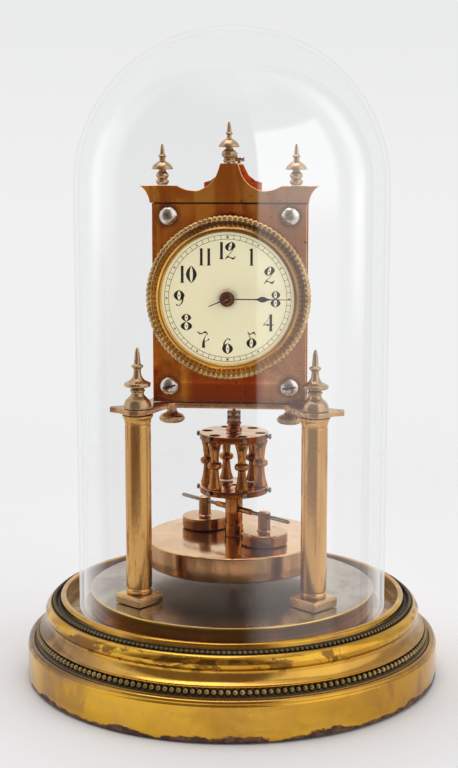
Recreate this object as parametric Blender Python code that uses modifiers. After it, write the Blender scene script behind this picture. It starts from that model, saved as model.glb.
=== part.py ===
"""Anniversary clock: a torsion-pendulum clock on a round brass base under a glass dome.

Frame: millimetres in the values below, metres in the scene, +Z up. The origin is the centre of the
base on the surface it stands on. The dial faces -Y, and +X is on the right of someone reading the
dial, so "front" means towards -Y. A layer is a pair (low, high) along the thickness of a flat piece.
"""

import math

import bmesh
import bpy

MM = 0.001  # one millimetre in scene units
GAP = 0.3  # clearance between neighbouring solids
SIDES = (("left", -1), ("right", 1))

# ---- base and dome -----------------------------------------------------------------------------
BASE_R = 104.0
BASE_SKIRT_TOP = 17.6
SKIRT_BOTTOM = 0.6
RIM_TOP = 41.5
GROOVE_R_OUT = 84.2
GROOVE_FLOOR = 34.2
BOTTOM_R, BOTTOM_TOP = 101.6, 2.6
BASE_PLATE_R = 72.0
BASE_PLATE_TOP = 44.0
BASE_PLATE_WALL = 1.6  # thickness of the turned-down edge
BASE_PLATE_SHEET = 1.8  # thickness of the flat top
DOME_R = 77.5
DOME_WALL = 2.3
DOME_BOTTOM, DOME_TOP = 35.0, 323.0
DOME_ARC_STEPS = 5

# ---- columns and platform ----------------------------------------------------------------------
COLUMN_X, COLUMN_Y = 42.6, -35.5
COLUMN_R = 6.3
FOOT_SIDE = 16.4
FOOT_TOP = 49.2
FOOT_TURN = {"left": 8.0, "right": 4.5}  # degrees about the column
PLATFORM_Z0, PLATFORM_Z1 = 138.2, 140.9
STUD_R, STUD_HOLE_R = 1.5, 1.9
NUT_X, NUT_Y = 29.4, -7.8

# ---- movement frame ----------------------------------------------------------------------------
PLATE_HALF_W = 37.4
PLATE_Z0, PLATE_Z1 = 141.2, 238.2
FRONT_Y0, FRONT_Y1 = -17.5, -15.5  # front plate, front and back faces
BACK_Y0, BACK_Y1 = 5.0, 7.0  # back plate, front and back faces
SCREW_Z_LOW, SCREW_Z_HIGH = 149.0, 232.2
CORNERS = (
    ("low_left", -NUT_X, SCREW_Z_LOW),
    ("low_right", NUT_X, SCREW_Z_LOW),
    ("high_left", -NUT_X, SCREW_Z_HIGH),
    ("high_right", NUT_X, SCREW_Z_HIGH),
)
PIVOT_R, PIVOT_HOLE_R = 0.55, 0.90
WINDING_HOLE_R = 2.95
PEDIMENT_LAYER = (-18.4, -15.2)
PEDIMENT_SHOULDER_TOP, PEDIMENT_PEAK = 246.7, 257.3
FINIAL_X, FINIAL_Y = 32.2, -16.8

# ---- dial --------------------------------------------------------------------------------------
DIAL_R, BEZEL_R = 31.9, 40.0
DIAL_PLATE_R, DIAL_BORE = 33.9, 2.5
DIAL_FACE_Y, DIAL_BACK_Y = -26.0, -25.0
HOUR_ANGLE = math.radians(90.0 - 247.5)  # hour hand at a quarter past eight
MINUTE_ANGLE = 0.0

# ---- pendulum ----------------------------------------------------------------------------------
PENDULUM_Y = 12.5
SPRING_TOP, SPRING_BOTTOM = 257.2, 129.5
SPRING_HALF_W, SPRING_HALF_T = 0.8, 0.15
FORK_Z, FORK_HALF_T = 240.0, 1.2
PIN_Y, PIN_R, PIN_TOP = 8.8, 0.35, 243.6  # anchor pin, between the tines of the fork
GALLERY_R = 17.6
GALLERY_TOP, GALLERY_BOTTOM, RING_T = 120.8, 89.6, 3.3
BALUSTER_COUNT = 6
BALUSTER_CIRCLE = 14.0
BALUSTER_START = math.radians(-9.0)
BALUSTER_R, BALUSTER_WAIST_R, BALUSTER_HOLE_R = 3.5, 1.8, 2.9
DISC_R, DISC_BORE, DISC_Z0, DISC_Z1 = 45.5, 3.3, 53.6, 66.4
POST_R = 4.5
ROD_Z = 80.8
ROD_HALF = 40.8
ROD_ANGLE = math.radians(-43.0)
WEIGHT_AT, WEIGHT_R, WEIGHT_H = 22.7, 11.8, 6.2
WEIGHT_NECK_R, WEIGHT_NECK_TOP = 3.15, 83.0
WEIGHT_LIFT = 0.4  # clearance over the disc


# ================================================================================================
# outlines
# ================================================================================================
def polar(radius, angle, centre=(0.0, 0.0)):
    return (centre[0] + radius * math.cos(angle), centre[1] + radius * math.sin(angle))


def toward(start, end):
    return math.atan2(end[1] - start[1], end[0] - start[0])


def circle(radius, count, at=(0.0, 0.0), start=0.0):
    return [polar(radius, start + 2 * math.pi * k / count, at) for k in range(count)]


def mirror(points):
    """The points reflected in x = 0, in reverse order so that they continue the outline."""
    return [(-x, y) for x, y in reversed(points)]


def toothed(teeth, corners, phase=0.0):
    """A toothed outline. corners are (radius, angle from the tooth's centre in pitches)."""
    pitch = 2 * math.pi / teeth
    return [
        polar(radius, phase + k * pitch + place * pitch)
        for k in range(teeth)
        for radius, place in corners
    ]


ADDENDUM, DEDENDUM = 0.70, 1.40  # tooth height and depth from the pitch circle, in modules


def gear(teeth, module, phase):
    """A wheel or pinion. phase is the angle of the centre of one tooth. The teeth are pointed and
    cut deep, which gives the train the generous backlash of a long-running clock."""
    pitch_r = module * teeth / 2
    tip = (pitch_r + ADDENDUM * module, 0.0)
    root = (pitch_r - DEDENDUM * module, 0.5)
    return toothed(teeth, (tip, root), phase)


def windows(inner, outer, arm, start=0.0):
    """The openings between a wheel's arms, which are arm wide."""
    count = 4
    half_in = math.asin(arm / 2 / inner)
    half_out = math.asin(arm / 2 / outer)
    loops = []
    for k in range(count):
        first = start + 2 * math.pi * k / count
        last = start + 2 * math.pi * (k + 1) / count
        loops.append([
            polar(outer, first + half_out),
            polar(outer, last - half_out),
            polar(inner, last - half_in),
            polar(inner, first + half_in),
        ])
    return loops


# ================================================================================================
# scene and materials
# ================================================================================================
for old in list(bpy.data.objects):
    bpy.data.objects.remove(old, do_unlink=True)

PARTS = bpy.data.collections.new("anniversary_clock")
CUTTERS = bpy.data.collections.new("cutters")
bpy.context.scene.collection.children.link(PARTS)
bpy.context.scene.collection.children.link(CUTTERS)


def material(name, colour, roughness, metallic=0.0, alpha=1.0):
    mat = bpy.data.materials.new(name)
    mat.use_nodes = True
    shader = mat.node_tree.nodes["Principled BSDF"]
    shader.inputs["Base Color"].default_value = (*colour, 1.0)
    shader.inputs["Roughness"].default_value = roughness
    shader.inputs["Metallic"].default_value = metallic
    shader.inputs["Alpha"].default_value = alpha
    return mat


def metal(name, colour, roughness):
    return material(name, colour, roughness, metallic=1.0)


BRASS_BASE = metal("base_brass", colour=(0.80, 0.55, 0.18), roughness=0.25)
BRASS_PALE = metal("column_brass", colour=(0.62, 0.50, 0.28), roughness=0.32)
BRASS_RED = metal("lacquered_plate", colour=(0.45, 0.22, 0.12), roughness=0.28)
BRASS_GEAR = metal("gear_brass", colour=(0.78, 0.60, 0.28), roughness=0.35)
BRASS_PENDULUM = metal("pendulum_brass", colour=(0.86, 0.60, 0.36), roughness=0.18)
BRASS_BEZEL = metal("bezel_brass", colour=(0.72, 0.52, 0.20), roughness=0.28)
SILVERED = metal("silvered_plate", colour=(0.62, 0.58, 0.52), roughness=0.25)
STEEL = metal("steel", colour=(0.60, 0.60, 0.60), roughness=0.30)
BLUED = metal("blued_steel", colour=(0.03, 0.03, 0.06), roughness=0.30)
ENAMEL = material("dial_enamel", colour=(0.93, 0.91, 0.74), roughness=0.35)
GLASS = material("dome_glass", colour=(0.95, 0.98, 0.98), roughness=0.03, alpha=0.25)
WOOD = material("base_wood", colour=(0.16, 0.09, 0.05), roughness=0.6)


# ================================================================================================
# solids. A tool is a hidden helper that a boolean modifier adds to or cuts from a part.
# ================================================================================================
def link(obj, tool):
    if tool:
        CUTTERS.objects.link(obj)
        obj.hide_render = True
        obj.display_type = "WIRE"
    else:
        PARTS.objects.link(obj)
    return obj


def mesh_object(name, mesh, mat, at=(0.0, 0.0, 0.0), tool=False):
    mesh.materials.append(mat)
    obj = bpy.data.objects.new(name, mesh)
    obj.location = [c * MM for c in at]
    return link(obj, tool)


def turned(name, profile, steps, mat, at=(0.0, 0.0, 0.0), along_y=False, ring=False, tool=False):
    """A turned piece: profile points are (radius, height). along_y turns it about a front-to-back
    axis, and its heights are then y. A ring's profile is a closed loop that stays off the axis."""
    points = [(radius, -height if along_y else height) for radius, height in profile]
    pairs = zip(points, points[1:] + points[:1])
    if sum(a[0] * b[1] - b[0] * a[1] for a, b in pairs) > 0:
        points.reverse()
    edges = [(i, i + 1) for i in range(len(points) - 1)]
    if ring:
        edges.append((len(points) - 1, 0))
    mesh = bpy.data.meshes.new(name)
    mesh.from_pydata([(radius * MM, 0.0, height * MM) for radius, height in points], edges, [])
    obj = mesh_object(name, mesh, mat, at, tool)
    if along_y:
        obj.rotation_euler = (math.pi / 2, 0, 0)
    screw = obj.modifiers.new("turn", "SCREW")
    screw.axis = "Z"
    screw.angle = 2 * math.pi
    screw.steps = steps
    screw.render_steps = steps
    screw.use_merge_vertices = True
    screw.merge_threshold = 1e-6
    screw.use_smooth_shade = True
    return obj


def turned_y(name, profile, steps, mat, centre, ring=False, tool=False):
    """A piece turned about the front-to-back axis through centre (x, z)."""
    at = (centre[0], 0, centre[1])
    return turned(name, profile, steps, mat, at=at, along_y=True, ring=ring, tool=tool)


def filled_curve(name, loops, thickness):
    curve = bpy.data.curves.new(name, "CURVE")
    curve.dimensions = "2D"
    curve.fill_mode = "BOTH"
    curve.extrude = thickness / 2 * MM
    for loop in loops:
        spline = curve.splines.new("POLY")
        spline.points.add(len(loop) - 1)
        for point, (across, up) in zip(spline.points, loop):
            point.co = (across * MM, up * MM, 0.0, 1.0)
        spline.use_cyclic_u = True
    return curve


def flat(name, loops, layer, mat, at=(0.0, 0.0), vertical=True, tool=False):
    """A flat piece. The first loop is its outside and the rest are holes. A vertical piece lies in
    the xz plane with its layer along y, the other kind in the xy plane with its layer along z.
    at is the place of the outline's origin."""
    low, high = layer
    middle = (low + high) / 2
    sheet = bpy.data.objects.new(name, filled_curve(name, loops, high - low))
    if vertical:
        sheet.rotation_euler = (math.pi / 2, 0, 0)
        sheet.location = (at[0] * MM, middle * MM, at[1] * MM)
    else:
        sheet.location = (at[0] * MM, at[1] * MM, middle * MM)
    PARTS.objects.link(sheet)
    bpy.context.view_layer.update()
    graph = bpy.context.evaluated_depsgraph_get()
    mesh = bpy.data.meshes.new_from_object(sheet.evaluated_get(graph))
    matrix = sheet.matrix_world.copy()
    bpy.data.objects.remove(sheet, do_unlink=True)

    # the filled curve comes as separate faces and sides, so weld them into a solid
    weld = bmesh.new()
    weld.from_mesh(mesh)
    bmesh.ops.remove_doubles(weld, verts=weld.verts, dist=1e-6)
    bmesh.ops.recalc_face_normals(weld, faces=weld.faces)
    weld.to_mesh(mesh)
    weld.free()
    mesh.name = name
    obj = mesh_object(name, mesh, mat, tool=tool)
    obj.matrix_world = matrix
    return obj


def box(name, low, high, mat, tool=False, bevel=0.0):
    mesh = bpy.data.meshes.new(name)
    cube = bmesh.new()
    bmesh.ops.create_cube(cube, size=1.0)
    size = [(b - a) * MM for a, b in zip(low, high)]
    bmesh.ops.scale(cube, vec=size, verts=cube.verts)
    cube.to_mesh(mesh)
    cube.free()
    middle = [(a + b) / 2 for a, b in zip(low, high)]
    obj = mesh_object(name, mesh, mat, middle, tool)
    if bevel:
        edge = obj.modifiers.new("edge", "BEVEL")
        edge.width = bevel * MM
        edge.segments = 1
    return obj


def rod(name, radius, length, steps, mat, at, along_x=False, angle=0.0):
    """A cylindrical tool centred at a point, along Z, or along X turned by angle about Z."""
    mesh = bpy.data.meshes.new(name)
    cylinder = bmesh.new()
    bmesh.ops.create_cone(
        cylinder,
        cap_ends=True,
        segments=steps,
        radius1=radius * MM,
        radius2=radius * MM,
        depth=length * MM,
    )
    cylinder.to_mesh(mesh)
    cylinder.free()
    obj = mesh_object(name, mesh, mat, at, tool=True)
    if along_x:
        obj.rotation_euler = (0, math.pi / 2, angle)
    return obj


def boolean(obj, tool, operation):
    modifier = obj.modifiers.new(operation.lower() + "_" + tool.name, "BOOLEAN")
    modifier.operation = operation
    modifier.object = tool
    modifier.solver = "EXACT"


def unite(obj, tool):
    boolean(obj, tool, "UNION")


def cut(obj, tool):
    boolean(obj, tool, "DIFFERENCE")


# ================================================================================================
# base
# ================================================================================================
def build_base_shell():
    profile = [
        # outside, from the rim down to the foot
        (GROOVE_R_OUT, RIM_TOP), (86.6, RIM_TOP), (87.4, 37.2), (91.8, 37.0), (94.7, 33.6),
        (93.6, 30.6), (97.4, 24.4), (96.8, 19.9), (102.4, 19.8),
        (BASE_R, BASE_SKIRT_TOP), (BASE_R, SKIRT_BOTTOM),
        # inside, back up to the groove
        (102.4, SKIRT_BOTTOM), (102.4, 17.0), (92.4, 29.0), (86.0, 32.6), (70.0, 32.6),
        (70.0, GROOVE_FLOOR), (GROOVE_R_OUT, GROOVE_FLOOR),
    ]
    turned("base_shell", profile, 32, BRASS_BASE, ring=True)


def build_base_bottom():
    profile = [(0, BOTTOM_TOP), (BOTTOM_R, BOTTOM_TOP), (BOTTOM_R, 0.0), (0, 0.0)]
    turned("base_bottom", profile, 32, WOOD)


def build_base_plate():
    edge_bottom = GROOVE_FLOOR + GAP
    inner_r = BASE_PLATE_R - BASE_PLATE_WALL
    underside = BASE_PLATE_TOP - BASE_PLATE_SHEET
    profile = [
        (0, BASE_PLATE_TOP), (BASE_PLATE_R, BASE_PLATE_TOP), (BASE_PLATE_R, edge_bottom),
        (inner_r, edge_bottom), (inner_r, underside), (0, underside),
    ]
    plate = turned("base_plate", profile, 32, SILVERED)
    for side, sign in SIDES:
        at = (sign * COLUMN_X, COLUMN_Y, BASE_PLATE_TOP)
        cut(plate, rod("cut_base_plate_" + side, STUD_HOLE_R, 8, 10, SILVERED, at))


# ================================================================================================
# columns, their feet and finials, platform
# ================================================================================================
def build_column_foot(side, sign):
    start = math.radians(-90 + FOOT_TURN[side])
    flat(
        "column_foot_" + side,
        [circle(FOOT_SIDE / math.sqrt(2), 4, start=start), circle(STUD_HOLE_R, 10)],
        (BASE_PLATE_TOP + GAP, FOOT_TOP),
        BRASS_PALE,
        at=(sign * COLUMN_X, COLUMN_Y),
        vertical=False,
    )


def build_column(side, sign):
    top = PLATFORM_Z0 - GAP
    bottom = FOOT_TOP + GAP
    stud_top, stud_bottom = 145.2, 39.5
    profile = [
        (0, stud_top), (STUD_R, stud_top), (STUD_R, top), (7.5, top), (6.7, 136.0),
        (COLUMN_R, 134.0), (COLUMN_R, bottom), (STUD_R, bottom), (STUD_R, stud_bottom),
        (0, stud_bottom),
    ]
    turned("column_" + side, profile, 16, BRASS_PALE, at=(sign * COLUMN_X, COLUMN_Y, 0))


def build_column_finial(side, sign):
    bottom = PLATFORM_Z1 + GAP
    bore_top = 145.6  # the column's stud ends in this bore
    profile = [
        (0, 170.6), (1.1, 169.0), (1.7, 162.4), (2.9, 161.2), (1.9, 160.0), (2.1, 156.4),
        (6.4, 153.4), (6.4, 151.6), (2.9, 150.4), (3.6, 149.7), (2.9, 148.0), (5.4, 145.2),
        (6.6, bottom), (STUD_HOLE_R, bottom), (STUD_HOLE_R, bore_top), (0, bore_top),
    ]
    turned("column_finial_" + side, profile, 12, BRASS_PALE, at=(sign * COLUMN_X, COLUMN_Y, 0))


# right half of the platform from front to back, (x, y)
HALF_PLATFORM = [
    (26.5, -18.3), (29.5, -20.5), (32.5, -26.5), (35.2, -34.5), (38.2, -40.4), (42.6, -42.9),
    (47.0, -41.4), (49.8, -37.8), (52.6, -34.8), (56.6, -32.8), (56.6, -30.0), (50.5, -27.2),
    (45.0, -21.5), (41.0, -12.0), (39.2, -2.0), (38.8, 9.0),
]


def build_platform():
    column_holes = [circle(STUD_HOLE_R, 12, at=(sign * COLUMN_X, COLUMN_Y)) for _, sign in SIDES]
    nut_holes = [circle(STUD_HOLE_R, 12, at=(sign * NUT_X, NUT_Y)) for _, sign in SIDES]
    flat(
        "movement_platform",
        [HALF_PLATFORM + mirror(HALF_PLATFORM)] + column_holes + nut_holes,
        (PLATFORM_Z0, PLATFORM_Z1),
        BRASS_PALE,
        vertical=False,
    )


def build_thumb_nut(side, sign):
    """A stud up through the platform, with its knob below."""
    stud_top = 147.4
    knob_top = PLATFORM_Z0 - GAP
    profile = [
        (0, stud_top), (STUD_R, stud_top), (STUD_R, knob_top), (2.6, knob_top), (2.6, 134.4),
        (5.6, 133.2), (6.4, 131.4), (5.4, 129.2), (0, 129.1),
    ]
    turned("thumb_nut_" + side, profile, 12, BRASS_PALE, at=(sign * NUT_X, NUT_Y, 0))


# ================================================================================================
# train layout. Places are (x, z), seen from the front.
# ================================================================================================
# module of each mesh and teeth of each wheel
M_BARREL, M_SECOND, M_THIRD, M_CENTRE = 0.72, 0.66, 0.56, 0.45
T_BARREL, T_SECOND, T_THIRD, T_CENTRE = 60, 48, 48, 60
T_PINION = 6
M_CANNON, T_CANNON, T_MINUTE = 0.75, 8, 24
M_HOUR, T_MINUTE_PINION, T_HOUR = 0.60, 8, 32
ESCAPE_TEETH, ESCAPE_TIP_R, ESCAPE_ROOT_R = 24, 11.0, 8.7


def mesh_distance(module, wheel_teeth, pinion_teeth):
    return module * (wheel_teeth + pinion_teeth) / 2


def third_position():
    """The place at the two mesh distances from the second and centre arbors, on the right."""
    from_second = mesh_distance(M_SECOND, T_SECOND, T_PINION)
    from_centre = mesh_distance(M_THIRD, T_THIRD, T_PINION)
    x, z = SECOND[0] - CENTRE[0], SECOND[1] - CENTRE[1]
    span = math.hypot(x, z)
    along = (from_centre**2 - from_second**2 + span**2) / (2 * span)
    off = math.sqrt(from_centre**2 - along**2)
    x, z = x / span, z / span
    return (CENTRE[0] + along * x - off * z, CENTRE[1] + along * z + off * x)


CENTRE = (0.0, 193.3)
BARREL = (-8.0, 167.0)
ANCHOR = (0.0, 224.5)
SECOND = polar(mesh_distance(M_BARREL, T_BARREL, T_PINION), math.radians(5.0), BARREL)
THIRD = third_position()
ESCAPE = (0.0, CENTRE[1] + mesh_distance(M_CENTRE, T_CENTRE, T_PINION))
MINUTE = polar(mesh_distance(M_CANNON, T_MINUTE, T_CANNON), math.radians(-60.0), CENTRE)
CLICK = (BARREL[0] + 12.4, BARREL[1] + 6.4)


# ================================================================================================
# movement frame
# ================================================================================================
def build_front_plate():
    outline = [
        (-PLATE_HALF_W, PLATE_Z0), (PLATE_HALF_W, PLATE_Z0),
        (PLATE_HALF_W, PLATE_Z1), (-PLATE_HALF_W, PLATE_Z1),
    ]
    loops = [outline, circle(1.15, 10, at=CENTRE), circle(WINDING_HOLE_R, 12, at=BARREL)]
    loops += [circle(PIVOT_HOLE_R, 8, at=p) for p in (SECOND, THIRD, ESCAPE, ANCHOR, MINUTE)]
    loops += [circle(1.65, 8, at=(x, z)) for _, x, z in CORNERS]
    flat("front_plate", loops, (FRONT_Y0, FRONT_Y1), BRASS_RED)


# right half of the back plate from the bottom up, (x, z)
HALF_BACK_PLATE = [
    (PLATE_HALF_W, PLATE_Z0), (PLATE_HALF_W, PLATE_Z1), (14.3, PLATE_Z1),
    (14.3, 247.4), (11.0, 248.4), (7.8, 250.9), (5.4, 255.6),
]


def build_back_plate():
    loops = [
        HALF_BACK_PLATE + mirror(HALF_BACK_PLATE),
        circle(WINDING_HOLE_R, 12, at=BARREL),
        circle(1.45, 16, at=ANCHOR),
        circle(1.1, 12, at=CLICK),
    ]
    loops += [circle(PIVOT_HOLE_R, 8, at=p) for p in (SECOND, THIRD, ESCAPE, CENTRE)]
    loops += [circle(2.4, 8, at=(x, z)) for _, x, z in CORNERS]
    flat("back_plate", loops, (BACK_Y0, BACK_Y1), BRASS_RED)


def build_pillar(corner, x, z):
    back_end = BACK_Y1 - 0.1
    back_shoulder = BACK_Y0 - GAP
    front_end = FRONT_Y1 + GAP
    bore_end = -11.3
    profile = [
        (0, back_end), (2.0, back_end), (2.0, back_shoulder), (3.7, back_shoulder),
        (3.7, front_end), (1.65, front_end), (1.65, bore_end), (0, bore_end),
    ]
    pillar = turned_y("movement_pillar_" + corner, profile, 10, BRASS_GEAR, (x, z))
    if z == SCREW_Z_LOW:
        # the thumb nut's stud enters from below
        at = (x, NUT_Y, z - 4)
        cut(pillar, rod("cut_pillar_" + corner, STUD_HOLE_R, 8, 8, BRASS_GEAR, at))


def build_plate_screw(corner, x, z):
    head_back = FRONT_Y0 - GAP
    profile = [
        (0, -20.4), (2.9, -19.8), (4.5, -18.6), (4.5, head_back),
        (1.25, head_back), (1.25, -11.7), (0, -11.7),
    ]
    turned_y("plate_screw_" + corner, profile, 12, STEEL, (x, z))


# right half of the crest above the front plate, (x, z)
HALF_CREST = [
    (38.4, PLATE_Z1 + GAP), (39.0, 241.2), (40.6, 244.4), (43.2, PEDIMENT_SHOULDER_TOP),
    (25.4, PEDIMENT_SHOULDER_TOP), (23.0, 245.6), (20.8, 244.7), (17.6, 244.3), (14.7, 244.5),
    (12.2, 245.6), (10.0, 247.0), (8.0, 248.9), (6.6, 250.8), (5.4, 253.6), (4.2, PEDIMENT_PEAK),
]


def build_pediment():
    pediment = flat("pediment", [HALF_CREST + mirror(HALF_CREST)], PEDIMENT_LAYER, BRASS_RED)
    # fixing tab behind the front plate
    low, high = (-18, PEDIMENT_LAYER[1], 228.0), (18, -12.8, 243.0)
    unite(pediment, box("pediment_tab", low, high, BRASS_RED, tool=True))


def build_side_finial(side, sign):
    bottom = PEDIMENT_SHOULDER_TOP + GAP
    profile = [
        (0, 266.6), (0.9, 265.2), (1.9, 260.4), (1.4, 258.6), (4.6, 256.0), (5.2, 254.6),
        (1.8, 253.8), (3.1, 251.6), (2.3, 249.9), (3.1, 248.4), (2.4, bottom), (0, bottom),
    ]
    turned("finial_" + side, profile, 12, BRASS_PALE, at=(sign * FINIAL_X, FINIAL_Y, 0))


def build_centre_finial():
    bottom = PEDIMENT_PEAK + GAP
    profile = [
        (0, 277.1), (0.9, 275.6), (1.6, 271.4), (1.2, 269.4), (4.6, 266.6), (5.1, 265.2),
        (1.8, 264.4), (3.7, 261.8), (2.2, 259.4), (2.6, bottom), (0, bottom),
    ]
    turned("finial_centre", profile, 12, BRASS_PALE, at=(0, FINIAL_Y, 0))


# ---- dial and bezel ----------------------------------------------------------------------------
def build_dial_bezel():
    back = FRONT_Y0 - GAP
    profile = [
        (DIAL_R, -26.4), (DIAL_R, -27.6), (33.2, -28.2), (36.3, -24.6), (39.0, -25.2),
        (BEZEL_R, -23.8), (BEZEL_R, -21.0), (36.4, -20.6), (36.4, back), (34.4, back),
        (34.4, -26.4),
    ]
    turned_y("dial_bezel", profile, 28, BRASS_BEZEL, CENTRE, ring=True)


def build_dial_plate():
    profile = [
        (DIAL_BORE, DIAL_FACE_Y), (DIAL_PLATE_R, DIAL_FACE_Y),
        (DIAL_PLATE_R, DIAL_BACK_Y), (DIAL_BORE, DIAL_BACK_Y),
    ]
    turned_y("dial_plate", profile, 28, ENAMEL, CENTRE, ring=True)


# ================================================================================================
# going train, between the plates
# ================================================================================================
SHOULDER_Y0, SHOULDER_Y1 = FRONT_Y1 + GAP, BACK_Y0 - GAP  # arbor shoulders
PIVOT_Y0, PIVOT_Y1 = FRONT_Y0 + GAP, BACK_Y1 - GAP  # pivot ends


def arbor(radius):
    return [
        (0, PIVOT_Y0), (PIVOT_R, PIVOT_Y0), (PIVOT_R, SHOULDER_Y0), (radius, SHOULDER_Y0),
        (radius, SHOULDER_Y1), (PIVOT_R, SHOULDER_Y1), (PIVOT_R, PIVOT_Y1), (0, PIVOT_Y1),
    ]


def pinion(module, angle, teeth=T_PINION):
    """A pinion with a space between teeth at the given angle, to take a tooth of its wheel."""
    return gear(teeth, module, phase=angle + math.pi / teeth)


def wheel(name, centre, rim, openings, layer, shaft, leaves, leaves_layer):
    """A wheel united with its arbor and pinion. shaft is a turned profile of (radius, y)."""
    obj = flat(name, [rim] + openings, layer, BRASS_GEAR, at=centre)
    unite(obj, turned_y(name + "_arbor", shaft, 8, BRASS_GEAR, centre, tool=True))
    unite(obj, flat(name + "_pinion", [leaves], leaves_layer, BRASS_GEAR, at=centre, tool=True))


def build_barrel():
    """A toothed cup, open to the front."""
    wall_r, wall, bore = 15.0, 1.0, 3.0
    mouth, floor, back = -10.9, 1.2, 3.4
    profile = [
        (bore, back), (wall_r, back), (wall_r, mouth), (wall_r - wall, mouth),
        (wall_r - wall, floor), (bore, floor),
    ]
    teeth = gear(T_BARREL, M_BARREL, phase=toward(BARREL, SECOND))
    barrel = flat("barrel", [teeth, circle(14.4, 16)], (1.6, 3.0), BRASS_GEAR, at=BARREL)
    unite(barrel, turned_y("barrel_cup", profile, 16, BRASS_GEAR, BARREL, ring=True, tool=True))


def build_mainspring():
    """A spiral strip inside the barrel."""
    turns, steps_per_turn = 3, 12
    inner_r, outer_r, thickness = 4.4, 12.8, 0.6
    count = turns * steps_per_turn
    outer, inner = [], []
    for i in range(count + 1):
        share = i / count
        angle = 2 * math.pi * turns * share
        radius = inner_r + (outer_r - inner_r) * share
        outer.append(polar(radius + thickness / 2, angle))
        inner.append(polar(radius - thickness / 2, angle))
    flat("mainspring", [outer + inner[::-1]], (-10.2, 0.8), STEEL, at=BARREL)


def build_second_wheel():
    """The wheel is at the front and its pinion at the back, in the barrel's teeth."""
    wheel(
        "second_wheel",
        SECOND,
        rim=gear(T_SECOND, M_SECOND, phase=toward(SECOND, THIRD)),
        openings=windows(inner=3.4, outer=13.0, arm=2.2, start=0.3),
        layer=(-12.9, -11.9),
        shaft=arbor(1.1),
        leaves=pinion(M_BARREL, toward(BARREL, SECOND) + math.pi),
        leaves_layer=(1.0, 3.7),
    )


def build_third_wheel():
    wheel(
        "third_wheel",
        THIRD,
        rim=gear(T_THIRD, M_THIRD, phase=toward(THIRD, CENTRE)),
        openings=windows(inner=3.2, outer=10.8, arm=2.0, start=0.9),
        layer=(-8.0, -7.0),
        shaft=arbor(0.75),
        leaves=pinion(M_SECOND, toward(THIRD, SECOND)),
        leaves_layer=(-13.2, -11.5),
    )


def build_centre_wheel():
    """The arbor runs out through the front plate and the dial to the minute hand."""
    shaft = [
        (0, -30.6), (0.5, -30.6), (0.6, -30.2), (0.6, SHOULDER_Y0), (0.75, SHOULDER_Y0),
        (0.75, SHOULDER_Y1), (PIVOT_R, SHOULDER_Y1), (PIVOT_R, PIVOT_Y1), (0, PIVOT_Y1),
    ]
    wheel(
        "centre_wheel",
        CENTRE,
        rim=gear(T_CENTRE, M_CENTRE, phase=toward(CENTRE, ESCAPE)),
        openings=windows(inner=3.2, outer=11.2, arm=2.0, start=0.2),
        layer=(-14.7, -13.7),
        shaft=shaft,
        leaves=pinion(M_THIRD, toward(CENTRE, THIRD)),
        leaves_layer=(-8.6, -6.4),
    )


def build_escape_wheel():
    wheel(
        "escape_wheel",
        ESCAPE,
        rim=toothed(ESCAPE_TEETH, ((ESCAPE_ROOT_R, -0.5), (ESCAPE_TIP_R, 0.25))),
        openings=windows(inner=2.6, outer=7.0, arm=1.4),
        layer=(-2.2, -1.2),
        shaft=arbor(0.7),
        leaves=pinion(M_CENTRE, toward(ESCAPE, CENTRE)),
        leaves_layer=(-15.0, -13.4),
    )


# ================================================================================================
# motion work and hands, in front of the front plate
# ================================================================================================
MOTION_ANGLE = toward(CENTRE, MINUTE)
MOTION_BACK_Y = -17.9  # back end of the cannon tube and shoulder of the minute arbor
MINUTE_WHEEL_LAYER = (-19.6, -18.7)


def gear_on_tube(name, teeth, bore, layer, tube, tube_r_in, tube_r_out, tube_layer, steps):
    """A gear on the centre line, united with the tube that carries a hand."""
    obj = flat(name, [teeth, circle(bore, steps[0])], layer, BRASS_GEAR, at=CENTRE)
    front, back = tube_layer
    profile = [(tube_r_in, back), (tube_r_out, back), (tube_r_out, front), (tube_r_in, front)]
    unite(obj, turned_y(tube, profile, steps[1], BRASS_GEAR, CENTRE, ring=True, tool=True))


def build_cannon_pinion():
    gear_on_tube(
        "cannon_pinion",
        teeth=gear(T_CANNON, M_CANNON, phase=MOTION_ANGLE),
        bore=0.95,
        layer=(-20.0, -18.3),
        tube="cannon_tube",
        tube_r_in=0.85,
        tube_r_out=1.35,
        tube_layer=(-29.9, MOTION_BACK_Y),
        steps=(10, 12),
    )


def build_hour_wheel():
    gear_on_tube(
        "hour_wheel",
        teeth=gear(T_HOUR, M_HOUR, phase=MOTION_ANGLE),
        bore=1.8,
        layer=(-21.9, -21.0),
        tube="hour_tube",
        tube_r_in=1.62,
        tube_r_out=2.15,
        tube_layer=(-27.9, -20.6),
        steps=(14, 14),
    )


def build_minute_wheel():
    front, back = -23.2, -15.9
    overlap = 0.01  # the pinion runs this far into the wheel
    wheel(
        "minute_wheel",
        MINUTE,
        rim=pinion(M_CANNON, MOTION_ANGLE + math.pi, T_MINUTE),
        openings=[],
        layer=MINUTE_WHEEL_LAYER,
        shaft=[
            (0, front), (0.9, front), (0.9, MOTION_BACK_Y), (PIVOT_R, MOTION_BACK_Y),
            (PIVOT_R, back), (0, back),
        ],
        leaves=pinion(M_HOUR, MOTION_ANGLE + math.pi, T_MINUTE_PINION),
        leaves_layer=(-22.6, MINUTE_WHEEL_LAYER[0] + overlap),
    )


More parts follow.
